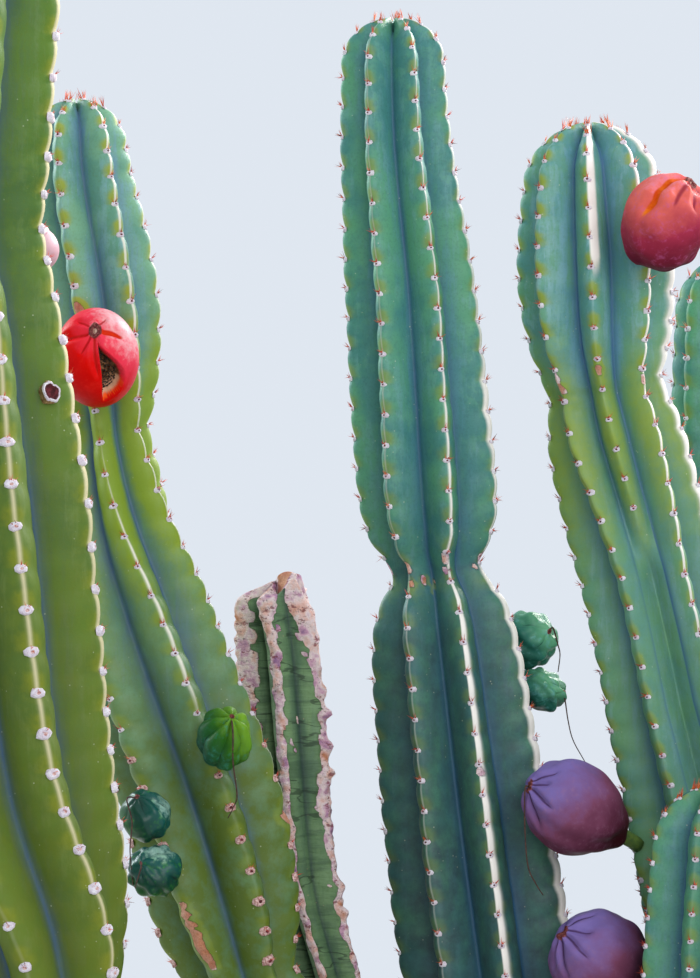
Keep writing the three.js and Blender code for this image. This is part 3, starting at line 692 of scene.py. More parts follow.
def growStem(name, stem, seed):
    # the ribbed skin, with its rings spaced so that every areole falls on one
    form = stemForm
    dice = np.random.default_rng(seed)
    walk = stem["walk"] = walkStem(stem["path"])
    length = walk["reach"][-1]
    tipRadius = walk["rows"][-1, 3]
    dome = stem["dome"] * tipRadius
    ribs = stem["ribs"]
    perGap = form["ringsPerGap"]

    # distance down from the crown, over the dome and down the ribs, and the areoles counted along it
    overDome = tipRadius * math.pi / 2
    down = np.linspace(0, overDome + length - dome, form["samples"])
    crowded = 1 - np.exp(-down / (form["crowdedGaps"] * stem["gap"]))
    counted = down / stem["gap"] + form["crowded"] * crowded
    ringCount = np.arange(2, int(counted[-1] * perGap)) / perGap
    down = np.interp(ringCount, counted, down)
    onDome = down < overDome
    lift = np.where(onDome, np.minimum(down / tipRadius, math.pi / 2), math.pi / 2)
    reach = np.where(onDome, length - dome + dome * np.cos(lift), length - dome - (down - overDome))
    at = stationsAt(stem, np.maximum(reach, 0))
    radius = at["radius"] * np.sin(lift)
    rings = len(down)

    # columns of one rib: its groove on the left, its left side, its edge, its right side
    steps = form["coarseSteps"] if stem["coarse"] else form["sideSteps"]
    across = np.array([-1.0] + [-s for s in reversed(steps)] + [0.0] + list(steps))
    away = np.abs(across)
    sharp, blunt = stem["crestRound"]
    both, alone = sideProfile(away, sharp, form["grooveRound"])
    wide, wideAlone = sideProfile(away, blunt, form["grooveRound"])
    angles, strength = layoutRibs(stem, at)
    after = np.roll(angles, -1, 1)
    after[:, -1] += 360
    before = np.roll(angles, 1, 1)
    before[:, 0] -= 360
    left = across < 0
    groove = np.where(left, ((before + angles) / 2)[..., None], ((angles + after) / 2)[..., None])
    faded = np.where(left, np.minimum(strength, np.roll(strength, 1, 1))[..., None],
                     np.minimum(strength, np.roll(strength, -1, 1))[..., None])
    turned = angles[..., None] + (groove - angles[..., None]) * away

    # areoles fall on every sixth ring, offset from rib to rib
    offset = dice.permutation(np.arange(ribs) * 2 + dice.integers(0, 2, ribs)) % perGap
    phase = (ringCount[:, None] - offset / perGap) % 1
    slid = (phase[..., None] - form["chinSlant"] * away) % 1
    places = np.arange(perGap + 1) / perGap
    chin, sun = (np.interp(slid, places, form[key] + form[key][:1]) for key in ("chin", "sun"))
    fall = (both + (wide - both) * chin) * faded + (alone + (wideAlone - alone) * chin) * (1 - faded)
    floor = 0.5 * (1 - faded)
    height = floor + (strength[..., None] - floor) * (1 - fall)
    lowest = form["footGroove"]
    depth = stem["groove"] * (lowest + (1 - lowest) * np.minimum(1, reach / form["grooveRise"]))
    depth = (depth * (1 + form["crownGroove"] * np.cos(lift) ** 2))[:, None, None]
    share = np.broadcast_to(stem["grooveShares"], ribs)[:, None]
    depth = depth * np.where(left, np.roll(share, 1, 0), share)
    wander = waves(seed + 1, 7, (at["reach"][:, None, None], 8, 60), (np.radians(turned), 1, 3))
    reachOut = radius[:, None, None] * (1 - depth * (1 - height)) * (1 + form["wander"] * wander)
    bulge = stem["bulge"] * (chin - 0.5) * (1 - away) ** form["chinReach"] * strength[..., None]
    reachOut = reachOut + bulge * np.sin(lift)[:, None, None]

    z = at["centre"][:, 2][:, None, None]
    cork, tan = scarMarks(stem, z, across, turned, seed + 2)
    if stem["cork"]:
        lumps = waves(seed + 3, 10, (z + 0 * turned, 120, 500), (np.radians(turned), 8, 30))
        reachOut = reachOut + cork * (form["corkRise"] + form["corkLumps"] * lumps)
    for rib, high, size, out in stem["knobs"]:
        reachOut[:, rib] += out * np.exp(-((z[:, 0] - high) / size) ** 2 - (across / form["knobWidth"]) ** 2)
    for rib, rows in stem["leanIn"].items():
        reachOut[:, rib] *= 1 - (1 - fromRows(rows, z[:, 0])) * (1 - away)

    # the crown dips between the ribs and in its middle
    sunk = form["crownSink"] + stem["crownDip"] * (1 - height)
    dip = -tipRadius * np.cos(lift)[:, None, None] ** 2 * sunk * stem["dome"]
    topWeight = smooth(form["topReach"], 0, length - at["reach"]) * np.sin(lift) ** 0.5
    raised = np.broadcast_to(stem["tops"], ribs)
    beside = np.where(left, np.roll(raised, 1)[:, None], np.roll(raised, -1)[:, None])
    dip = dip + topWeight[:, None, None] * (raised[:, None] + (beside - raised[:, None]) * 0.5 * away ** 2)
    angle = np.radians(turned)[..., None]
    points = at["centre"][:, None, None] + at["along"][:, None, None] * dip[..., None]
    points = points + at["side"][:, None, None] * reachOut[..., None] * np.sin(angle)
    points = points + at["front"][:, None, None] * reachOut[..., None] * np.cos(angle)
    tip = walk["rows"][-1, :3] - walk["along"][-1] * tipRadius * form["tipDip"] * stem["dome"]
    foot = walk["rows"][0, :3]

    sun = np.where(sun > 0, sun * smooth(0.46, 0.0, away), sun * (1 - away) ** 1.1) * strength[..., None]
    sun = np.maximum(sun, tan)
    if stem["cork"]:
        nearTip = smooth(1.15, 0.8, lift)[:, None, None]
        sun = np.maximum(sun, 1.2 * nearTip * np.array(stem["tanTops"])[:, None])
    # painted highlight: the pale strips of sunlit rib edges, by rib and height
    pale = np.zeros_like(reachOut)
    for rib, middle, rows in stem["paintedSunEdges"]:
        amount, half = (fromRows(rows, z[:, 0], column) for column in (1, 2))
        pale[:, rib] = amount * (1 - smooth(0.4, 1, np.abs(across - middle) / half))
    marks = withEnds({
        "pale": (pale, 0, 0),
        "yellow": (fromRows(stem["yellow"], z) * smooth(1.1, 0.25, away) + 0 * reachOut, 0, 0),
        "crest": ((1 - away) * strength[..., None] + 0.4 * (1 - strength[..., None]), 0.5, 0),
        "sun": (sun, 0.3, 0),
        # darker and greyer low on the stem: painted shade together with the older skin's own tone
        "age": (fromRows(stem["agedAndShaded"], z) * np.ones_like(reachOut), 0, 1),
        "cork": (cork, 0.9 if stem["cork"] else 0, 0),
        "wood": (1 - smooth(*form["woody"], reach[:, None, None] + 0 * reachOut), 0, 1),
    })
    makePiece(name + "_skin", np.vstack([points.reshape(-1, 3), tip, foot]),
              shellFaces(rings, ribs * len(across)), [skins[stem["skin"]]], marks=marks,
              stands=[name + "_" + piece for piece in stem["pieces"]])

    # frames for the areoles
    edge = int(np.argmin(away))
    bare = (at["reach"] <= form["bareFoot"]) | (lift <= form["bareCrown"])
    chosen = []
    for rib in range(ribs):
        for ring in range(1, rings - 1):
            due = round(ringCount[ring] * perGap - offset[rib]) % perGap == 0 and strength[ring, rib] > 0.5
            if due and not bare[ring] and cork[ring, rib, edge] < form["bareCork"]:
                chosen.append((ring, rib))
    ring, rib = np.array(chosen).T
    lower = form["spotLower"]
    spot = (1 - lower) * points[ring, rib, edge] + lower * points[ring + 1, rib, edge]
    up = unit(points[ring - 1, rib, edge] - points[ring + 1, rib, edge])
    over = unit(points[ring, rib, edge + 1] - points[ring, rib, edge - 1])
    out = unit(np.cross(over, up))
    return {
        "spot": spot, "up": up, "over": np.cross(up, out), "out": out, "tipUp": walk["along"][-1],
        "swell": fromRows(stem["padSwell"], spot[:, 2]) * (0.45 + 0.55 * np.sin(lift[ring])),
        "crown": lift[ring] < form["crown"], "tuft": (lift[ring] < form["tuft"]) & (not stem["cork"]),
        "old": spot[:, 2] < stem["oldPads"],
    }


def inFrame(sides, local):
    # lengths over, up and out of the areoles' frames, as the scene has them
    return sum(side * local[..., k:k + 1] for k, side in enumerate(sides))


# rings of a cushion are radius and height; one over the large size has more of them and more sides
padForm = {
    "large": 0.0045, "sides": 8, "largeSides": 9, "coarseSides": 6,
    "rings": [(1.0, -0.35), (0.78, 0.68), (0.3, 0.78)],
    "largeRings": [(1.0, -0.35), (0.9, 0.45), (0.55, 0.85), (0.28, 0.72)],
    "middle": 0.55, "sizes": (0.85, 1.12), "uneven": 0.14, "shape": [1.0, 0.78, 0.62],
}


def areolePads(name, found, size, coarse, seed, middle):
    # woolly cushions, each with a small dark middle
    form = padForm
    dice = np.random.default_rng(seed)
    large = size > form["large"]
    sides = form["coarseSides"] if coarse else form["largeSides"] if large else form["sides"]
    rings = form["largeRings"] if large else form["rings"]
    shape = [[r * math.cos(a), r * math.sin(a), h] for r, h in rings for a in roundTurn(sides)]
    shape = np.array(shape + [[0, 0, form["middle"]]])
    count = len(found["spot"])
    grown = size * dice.uniform(*form["sizes"], (count, 1, 1)) * found["swell"][:, None, None]
    local = shape * (1 + dice.uniform(-form["uneven"], form["uneven"], (count, len(shape), 1)))
    local = local * grown * np.array(form["shape"])
    points = found["spot"][:, None] + inFrame([found[key][:, None] for key in ("over", "up", "out")], local)
    quads = gridFaces(len(rings), sides)[:, ::-1]
    caps = fan(len(rings) * sides, np.arange(sides) + (len(rings) - 1) * sides, True)
    slots = np.concatenate([np.repeat(found["old"] * 2, len(quads)), np.full(count * len(caps), middle)])
    makePiece(name, points, [copyFaces(quads, len(shape), count), copyFaces(caps, len(shape), count)],
              [wool, feltBrown, woolOld], slots=slots)


# kinds are the shares of red, amber and brown spines
spineForm = {
    "lengths": (0.0045, 0.0095), "thick": (0.00044, 0.00066), "perAreole": 6, "coarsePerAreole": 5,
    "lean": (0.3, 1.0), "upward": 0.62, "spread": 0.0009, "start": (0.0008, 0.0014),
    "kinds": [0.62, 0.23, 0.15], "crownKinds": [0.35, 0.62, 0.03], "crownUpward": 0.5,
    "tuftMore": 5, "tuftAim": 0.9, "tuftSpread": 0.25, "tuftLonger": 0.35,
}


def spines(name, found, coarse, seed):
    # three-sided spikes leaning up and out from the upper edge of each cushion, longer in the crown's tuft
    form = spineForm
    dice = np.random.default_rng(seed)
    perAreole = form["coarsePerAreole"] if coarse else form["perAreole"]
    spots = np.repeat(np.arange(len(found["spot"])), perAreole + np.where(found["tuft"], form["tuftMore"], 0))
    spot, over, up, out = (found[key][spots] for key in ("spot", "over", "up", "out"))
    tuft = found["tuft"][spots][:, None]
    crown = found["crown"][spots]
    count = len(spots)
    turn = dice.uniform(0, 2 * math.pi, count)
    lean = dice.uniform(*form["lean"], count)
    local = np.stack([np.cos(turn) * np.sin(lean), np.sin(turn) * np.sin(lean), np.cos(lean)], 1)
    local[:, 1] += form["upward"]
    local[crown, 1] += form["crownUpward"]
    aim = inFrame([over, up, out], unit(local))
    strayed = dice.normal(0, form["tuftSpread"], (count, 3))
    aim = unit(aim + tuft * (form["tuftAim"] * found["tipUp"] + strayed))
    long = dice.uniform(*form["lengths"], count) * (1 + form["tuftLonger"] * tuft[:, 0])
    outward, upward = form["start"]
    start = spot + out * outward + up * upward
    start = start + over * dice.normal(0, form["spread"], (count, 1)) * (1 + tuft)
    across = unit(np.cross(aim, over + 0.01))
    other = np.cross(aim, across)
    thick = dice.uniform(*form["thick"], count)
    corners = [start + (across * math.cos(a) + other * math.sin(a)) * thick[:, None] for a in roundTurn(3)]
    points = np.stack(corners + [start + aim * long[:, None]], 1)
    onCrown, below = (dice.choice(3, count, p=form[key]) for key in ("crownKinds", "kinds"))
    makePiece(name, points, [copyFaces(np.array([[0, 1, 3], [1, 2, 3], [2, 0, 3]]), 4, count)],
              [spineRed, spineAmber, spineBrown], slots=np.repeat(np.where(crown, onCrown, below), 3))


for number, (stemName, own) in enumerate(stems.items()):
    stem = stems[stemName] = {**plainStem, **own}
    seed = 100 + 10 * number
    found = growStem(stemName, stem, seed)
    areolePads(stemName + "_areoles", found, stem["pad"], stem["coarse"], seed + 5, stem["padMiddle"])
    spines(stemName + "_spines", found, stem["coarse"], seed + 6)
    print("grown", stemName, len(found["spot"]), "areoles")


trunkForm = {
    "profile": [[0, 0.160], [0.022, 0.142], [0.060, 0.127], [0.130, 0.119], [0.230, 0.116],
                [0.330, 0.118], [0.390, 0.104], [0.425, 0.066], [0.440, 0.022]],
    "girth": 0.116, "flare": 0.160, "lobes": 5, "lobe": 0.07, "columns": 150, "rows": 110, "top": 0.441,
    "ripple": 0.0015, "crack": 0.006, "seed": 41,
}


def barkFinish():
    look = Finish("trunk_bark")
    place = look.place()
    fissure = look.mark("fissure")
    grain = look.noise(place, 55, 6, 0.7, (1, 1, 0.35))
    fine = look.noise(place, 300, 5, 0.7)
    colour = look.ramp(grain, [(0.28, "4a3b30"), (0.45, "76685a"), (0.6, "998b7a"), (0.75, "b7ab9a")])
    colour = look.mix(fissure.step(0.3, 0.9) * 0.8, colour, "2f241d")
    colour = look.mix(look.noise(place, 12, 3).step(0.5, 0.75) * 0.4, colour, "6f7352")
    return look.cover(colour, 0.85 + 0.1 * fine, grain + 0.4 * fine - 0.8 * fissure, 0.003)


def buildTrunk(form):
    rows, columns = form["rows"], form["columns"]
    heights, radii = np.array(form["profile"]).T
    along = np.concatenate([[0], np.cumsum(np.hypot(np.diff(heights), np.diff(radii)))])
    spaced = np.linspace(0, along[-1], rows)
    height = np.interp(spaced, along, heights)[:, None]
    radius = np.interp(spaced, along, radii)[:, None]
    turn = roundTurn(columns)[None]
    flare = np.maximum(0, (radius - form["girth"]) / (form["flare"] - form["girth"]))
    radius = radius * (1 + form["lobe"] * flare * np.cos(form["lobes"] * turn))
    # plates of bark between upright cracks; whole counts of waves close round the trunk
    dice = np.random.default_rng(form["seed"])
    bend = sum(np.sin(k * turn + height * dice.uniform(10, 40) + dice.uniform(0, 6)) for k in range(2, 7))
    bend = bend * 0.12
    upright = np.abs(np.sin(9 * turn + 3 * bend + 6 * height))
    level = np.abs(np.sin(38 * height + 4 * bend + turn * 2))
    ripple = sum(np.sin(int(k) * turn + height * dice.uniform(-150, 150) + dice.uniform(0, 6))
                 for k in dice.integers(6, 40, 12)) / 5
    fissure = 1 - smooth(0.05, 0.4, upright * 0.7 + level * 0.3)
    radius = radius + form["ripple"] * ripple - form["crack"] * fissure * smooth(0.0, 0.03, height)
    points = np.stack([radius * np.cos(turn), radius * np.sin(turn), height + 0 * turn], -1).reshape(-1, 3)
    points = np.vstack([points, [0, 0, 0], [0, 0, form["top"]]])
    makePiece("trunk_bark", points, shellFaces(rows, columns, True), [barkFinish()],
              marks=withEnds({"fissure": (fissure, 0, 0)}), stands=["trunk"])


buildTrunk(trunkForm)
print("trunk built")


plainFruitSkin = {"pulp": ["d8601c", "f08a34"], "coat": 0.0, "paintedGlintRange": (0.68, 0.88)}


def fruitSkin(name, own):
    # skin that turns from one tone below to another above, partly its own change of tone and partly painted
    # light and shade toward its bright side, with a painted highlight there, painted shade in its creases, and
    # a dry scar where the flower was
    tones = {**plainFruitSkin, **own}
    look = Finish(name)
    place = look.place()
    crease, style, top, flesh, pulp = (look.mark(m) for m in ("crease", "style", "top", "flesh", "pulp"))
    cloud = look.noise(place, 34, 5, 0.6)
    grain = look.noise(place, 500, 4, 0.6)
    speckle = look.noise(place, 190, 3, 0.6)
    # the turn follows bright, the side the light comes from: partly painted light and shade, partly the skin's
    # own change of tone
    turned = 0.5 + 0.42 * top + 0.5 * (cloud - 0.5)
    colour = look.ramp(turned, [(0.12, tones["under"]), (0.5, tones["middle"]), (0.86, tones["over"])])
    colour = look.mix((speckle * 0.6 + cloud * 0.4).step(0.5, 0.7) * tones["cloudy"], colour, tones["cloud"])
    # painted highlight: a pale glint on the fruit's bright side
    paintedGlintMask = (top * 0.8 + speckle * 0.5 - 0.2).step(*tones["paintedGlintRange"])
    colour = look.mix(paintedGlintMask * tones["paintedGlintAmount"], colour, tones["paintedGlint"])
    # painted shade darkening the creases and the lines between lobes
    colour = look.mix(crease.step(0.2, 1.0) * 0.85, colour, tones["crease"])
    colour = look.mix(pulp.step(0.2, 0.8), colour, look.mix(cloud.step(0.4, 0.65), *tones["pulp"]))
    inside = look.ramp(look.noise(place, 130, 4), [(0.3, "45281a"), (0.5, "705038"), (0.72, "a47c58")])
    inside = look.mix(pulp.step(0.2, 0.8), inside, look.mix(cloud.step(0.4, 0.6), "b8866a", "dcae90"))
    colour = look.mix(flesh.step(0.3, 0.7), colour, inside)
    rim = look.ramp(grain, [(0.3, "3c1618"), (0.55, "7e4040"), (0.7, "a87060")])
    colour = look.mix(style.step(0.25, 0.4), colour, rim)
    colour = look.mix(style.step(0.84, 0.95), colour, look.ramp(grain, [(0.35, "a8766a"), (0.6, "d8b4a4")]))
    rise = 0.12 * grain + 0.4 * cloud + 0.15 * speckle + style * grain
    fixed = {"Coat Weight": tones["coat"], "Coat Roughness": 0.3, "Specular IOR Level": tones["shine"]}
    return look.cover(colour, tones["gloss"] + 0.15 * grain + 0.3 * style, rise, 0.0008, fixed)


fruitSkins = {
    "red": fruitSkin("red_fruit_skin", {
        "under": "b00000", "middle": "e20804", "over": "ff4460", "cloud": "ff4a38", "cloudy": 0.15,
        "crease": "b40a0a", "paintedGlint": "ffdce0", "paintedGlintAmount": 0.8, "paintedGlintRange": (0.5, 0.95),
        "pulp": ["d82c08", "f25a18"], "gloss": 0.32, "shine": 0.07}),
    "blush": fruitSkin("blush_fruit_skin", {
        "under": "b98a92", "middle": "d8a8b4", "over": "eac8d2", "cloud": "c9909c", "cloudy": 0.35,
        "crease": "a86a7a", "paintedGlint": "f0dce2", "paintedGlintAmount": 0.2, "gloss": 0.45, "shine": 0.4}),
    "plum": fruitSkin("plum_fruit_skin", {
        "under": "580c28", "middle": "a42e48", "over": "ea6c5e", "cloud": "c05c94", "cloudy": 0.55,
        "crease": "8e2438", "paintedGlint": "f492a8", "paintedGlintAmount": 0.45, "pulp": ["cc4406", "ea7a18"], "gloss": 0.5,
        "shine": 0.08}),
    "purple": fruitSkin("purple_fruit_skin", {
        "under": "440e1c", "middle": "7c4460", "over": "7c6aaa", "cloud": "9a6a86", "cloudy": 0.35,
        "crease": "3c1c40", "paintedGlint": "8474b8", "paintedGlintAmount": 0.3, "gloss": 0.5, "shine": 0.1}),
    "green": fruitSkin("green_fruit_skin", {
        "under": "164c38", "middle": "2a6418", "over": "74a42a", "cloud": "3c9080", "cloudy": 0.55,
        "crease": "081c06", "paintedGlint": "9cc040", "paintedGlintAmount": 0.2, "gloss": 0.36, "shine": 0.15}),
    "blueGreen": fruitSkin("blue_green_fruit_skin", {
        "under": "103c30", "middle": "2c7262", "over": "6cb084", "cloud": "6eb2b4", "cloudy": 0.6,
        "crease": "144438", "paintedGlint": "b4d8c8", "paintedGlintAmount": 0.8, "gloss": 0.4, "coat": 0.05, "shine": 0.25}),
    "darkGreen": fruitSkin("dark_fruit_skin", {
        "under": "1c5c14", "middle": "0a3c30", "over": "145650", "cloud": "3c8c2a", "cloudy": 0.7,
        "crease": "04140f", "paintedGlint": "b4dccc", "paintedGlintAmount": 0.6, "gloss": 0.28, "coat": 0.15, "shine": 0.25}),
}

# what a fruit has unless its own dictionary says otherwise
plainFruit = {
    "rows": 46, "columns": 84, "creases": [], "bright": [0, 0, 1.0], "styleSize": 1.15, "neck": 0, "lumpy": 0,
}

# face is where the dried flower was, seen from the fruit's middle, and bright is where the skin turns, the
# side the light comes from, where painted light and shade and a painted highlight are laid over the skin's own
# tone; a crease is its angle round the face, its reach towards the stalk, its depth, its width and how raw it
# is, and is darkened with painted shade;
# split gives an opening's two edges by distance from the face
fruits = {
    "red_fruit": {
        "stem": "left_stem", "foot": [1.706, -22], "middle": [-0.502, -0.112, 1.726],
        "size": [0.084, 0.08, 1.18], "skin": "red", "face": [-0.01, -0.86, 0.51], "columns": 264,
        "rows": 150, "bright": [0.66, -0.3, 0.7], "lobes": 0,
        "creases": [[-3, 0.85, 0.005, 0.005, 0.95], [56, 0.5, 0.003, 0.004, 0], [140, 0.7, 0.003, 0.004, 0],
                    [181, 1.2, 0.006, 0.005, 0.3], [-87, 1.1, 0.004, 0.005, 0.3],
                    [-128, 0.7, 0.002, 0.004, 0]],
        "split": [[13, -76, -72], [20, -78, -66], [26, -79, -60], [35, -79, -52], [46, -79, -45],
                  [58, -79, -41],
                  [68, -80, -40], [76, -80, -41], [83, -81, -45], [88, -81, -51], [92, -81, -59],
                  [96, -80, -70],
                  [98, -79, -78]]},
    "blush_fruit": {
        "stem": "front_left_stem", "foot": [1.794, 146], "middle": [-0.551, -0.318, 1.816],
        "size": [0.056, 0.052, 1], "skin": "blush", "lobes": 4, "deep": 0.0015},
    "plum_fruit": {
        "stem": "right_stem", "foot": [1.833, 38], "middle": [0.047, -0.046, 1.86],
        "size": [0.098, 0.082, 1.12], "skin": "plum", "face": [0.58, -0.27, 0.8], "lobes": 0,
        "columns": 136,
        "rows": 84, "bright": [-0.1, -0.45, 0.85], "lumpy": 0.0012,
        "creases": [[[128, 166], 1.95, 0.006, 0.0078, 1], [233, 1, 0.0035, 0.008, 0],
                    [290, 1, 0.0025, 0.006, 0],
                    [70, 0.9, 0.002, 0.005, 0], [0, 0.8, 0.002, 0.005, 0], [195, 1.3, 0.0025, 0.008, 0]]},
    "purple_fruit_upper": {
        "stem": "right_stem", "foot": [1.262, 294.6], "middle": [-0.042, -0.026, 1.289],
        "size": [0.11, 0.09, 1], "skin": "purple", "face": [-0.85, -0.34, 0.4], "lobes": 0, "neck": 0.014,
        "bright": [-0.6, -0.3, 0.75], "lumpy": 0.0012, "columns": 104, "rows": 68,
        "creases": [[-20, 1, 0.004, 0.004, 0], [15, 0.7, 0.003, 0.004, 0], [50, 0.9, 0.003, 0.004, 0],
                    [-65, 1.1, 0.003, 0.004, 0], [-100, 0.9, 0.004, 0.004, 0], [120, 0.8, 0.003, 0.004, 0],
                    [180, 0.8, 0.003, 0.004, 0]]},
    "purple_fruit_lower": {
        "stem": "right_stem", "foot": [1.112, 294.6], "middle": [-0.016, -0.034, 1.141],
        "size": [0.106, 0.094, 1], "skin": "purple", "face": [-0.72, -0.42, 0.55], "lobes": 0, "neck": 0.01,
        "bright": [-0.5, -0.3, 0.8], "lumpy": 0.0012, "columns": 104, "rows": 68,
        "creases": [[-20, 1, 0.004, 0.004, 0], [25, 0.8, 0.003, 0.004, 0], [70, 0.9, 0.003, 0.004, 0],
                    [-70, 1.1, 0.004, 0.004, 0], [-110, 0.9, 0.004, 0.004, 0],
                    [150, 0.8, 0.003, 0.004, 0]]},
    "green_fruit_upper": {
        "stem": "centre_stem", "foot": [1.451, 120], "middle": [-0.079, 0.098, 1.449],
        "size": [0.056, 0.05, 1.1], "skin": "blueGreen", "styleSize": 0.6, "face": [0.72, -0.62, 0.3],
        "lobes": 5, "deep": 0.0014, "bright": [0.75, -0.1, 0.65], "lumpy": 0.0018},
    "green_fruit_lower": {
        "stem": "centre_stem", "foot": [1.398, 120], "middle": [-0.067, 0.098, 1.397],
        "size": [0.048, 0.042, 1], "skin": "blueGreen", "styleSize": 0.6, "face": [0.88, -0.46, 0.08],
        "lobes": 5, "deep": 0.0012, "bright": [0.75, -0.1, 0.65], "lumpy": 0.0016},
    "green_fruit_left": {
        "stem": "left_stem", "foot": [1.348, 21.5], "middle": [-0.379, -0.131, 1.363],
        "size": [0.06, 0.053, 1.12], "skin": "green", "styleSize": 0.6, "face": [0.22, -0.7, 0.7],
        "lobes": 7, "deep": 0.0048, "lumpy": 0.0008,
        "bright": [0.85, -0.1, 0.5], "columns": 126, "rows": 70},
    "dark_fruit_upper": {
        "stem": "left_stem", "foot": [1.304, -38], "middle": [-0.455, -0.118, 1.288],
        "size": [0.054, 0.048, 1.06], "skin": "darkGreen", "styleSize": 0.6, "face": [-0.3, -0.6, 0.74],
        "lobes": 5, "deep": 0.0014, "bright": [0.85, -0.3, 0.45], "lumpy": 0.0008},
    "dark_fruit_lower": {
        "stem": "left_stem", "foot": [1.246, -34], "middle": [-0.446, -0.122, 1.235],
        "size": [0.054, 0.05, 1], "skin": "darkGreen", "styleSize": 0.6, "face": [-0.48, -0.8, 0.36],
        "lobes": 5, "deep": 0.0014, "bright": [0.2, -0.45, 0.9], "lumpy": 0.0014},
    "far_right_red_fruit": {
        "stem": "far_right_stem", "foot": [1.56, 112], "middle": [0.438, 0.066, 1.58],
        "size": [0.084, 0.078, 1], "skin": "red", "lobes": 4, "deep": 0.0025},
    "far_right_green_fruit": {
        "stem": "far_right_stem", "foot": [1.38, 156.6], "middle": [0.412, 0.158, 1.392],
        "size": [0.06, 0.054, 1], "skin": "green", "lobes": 6, "deep": 0.0045},
    "back_purple_fruit": {
        "stem": "back_right_stem", "foot": [1.44, 192.2], "middle": [0.1, 0.34, 1.456],
        "size": [0.096, 0.084, 1], "skin": "purple", "lobes": 4, "deep": 0.0015, "lumpy": 0.001},
    "front_right_fruit": {
        "stem": "front_right_stem", "foot": [1.29, 73.4], "middle": [0.338, -0.304, 1.306],
        "size": [0.088, 0.08, 1], "skin": "plum", "lobes": 4, "deep": 0.002, "lumpy": 0.001},
}


def stationAtHeight(stem, height):
    walk = stem["walk"]
    return stationsAt(stem, np.array([np.interp(height, walk["rows"][:, 2], walk["reach"])]))


def tube(points, radii, sides):
    # a closed tube through points
    points = np.asarray(points, float)
    count = len(points)
    along = unit(np.gradient(points, axis=0))
    helper = np.array([0.0, 0.0, 1.0]) if abs(along[0][2]) < 0.9 else np.array([1.0, 0.0, 0.0])
    across = unit(np.cross(along, helper))
    other = np.cross(along, across)
    turn = roundTurn(sides)[:, None]
    radii = np.broadcast_to(np.asarray(radii, float), (count,))[:, None, None]
    rings = points[:, None] + radii * (across[:, None] * np.cos(turn) + other[:, None] * np.sin(turn))
    return np.vstack([rings.reshape(-1, 3), points[0], points[-1]]), shellFaces(count, sides, True)


fruitForm = {
    "wander": 0.0008,
    "scarRise": 0.0018, "scarPit": 0.0028,       # the ring round the flower's scar, and its middle
    "splitDepth": 0.012, "splitLumps": 0.0012,
    "stalk": [0.0085, 0.0072, 0.0085, 0.006],    # radii from inside the rib to inside the fruit
    "stalkIn": 0.005, "stalkOut": 0.004, "stalkSides": 14,
    "faceEnd": 0.965,
}


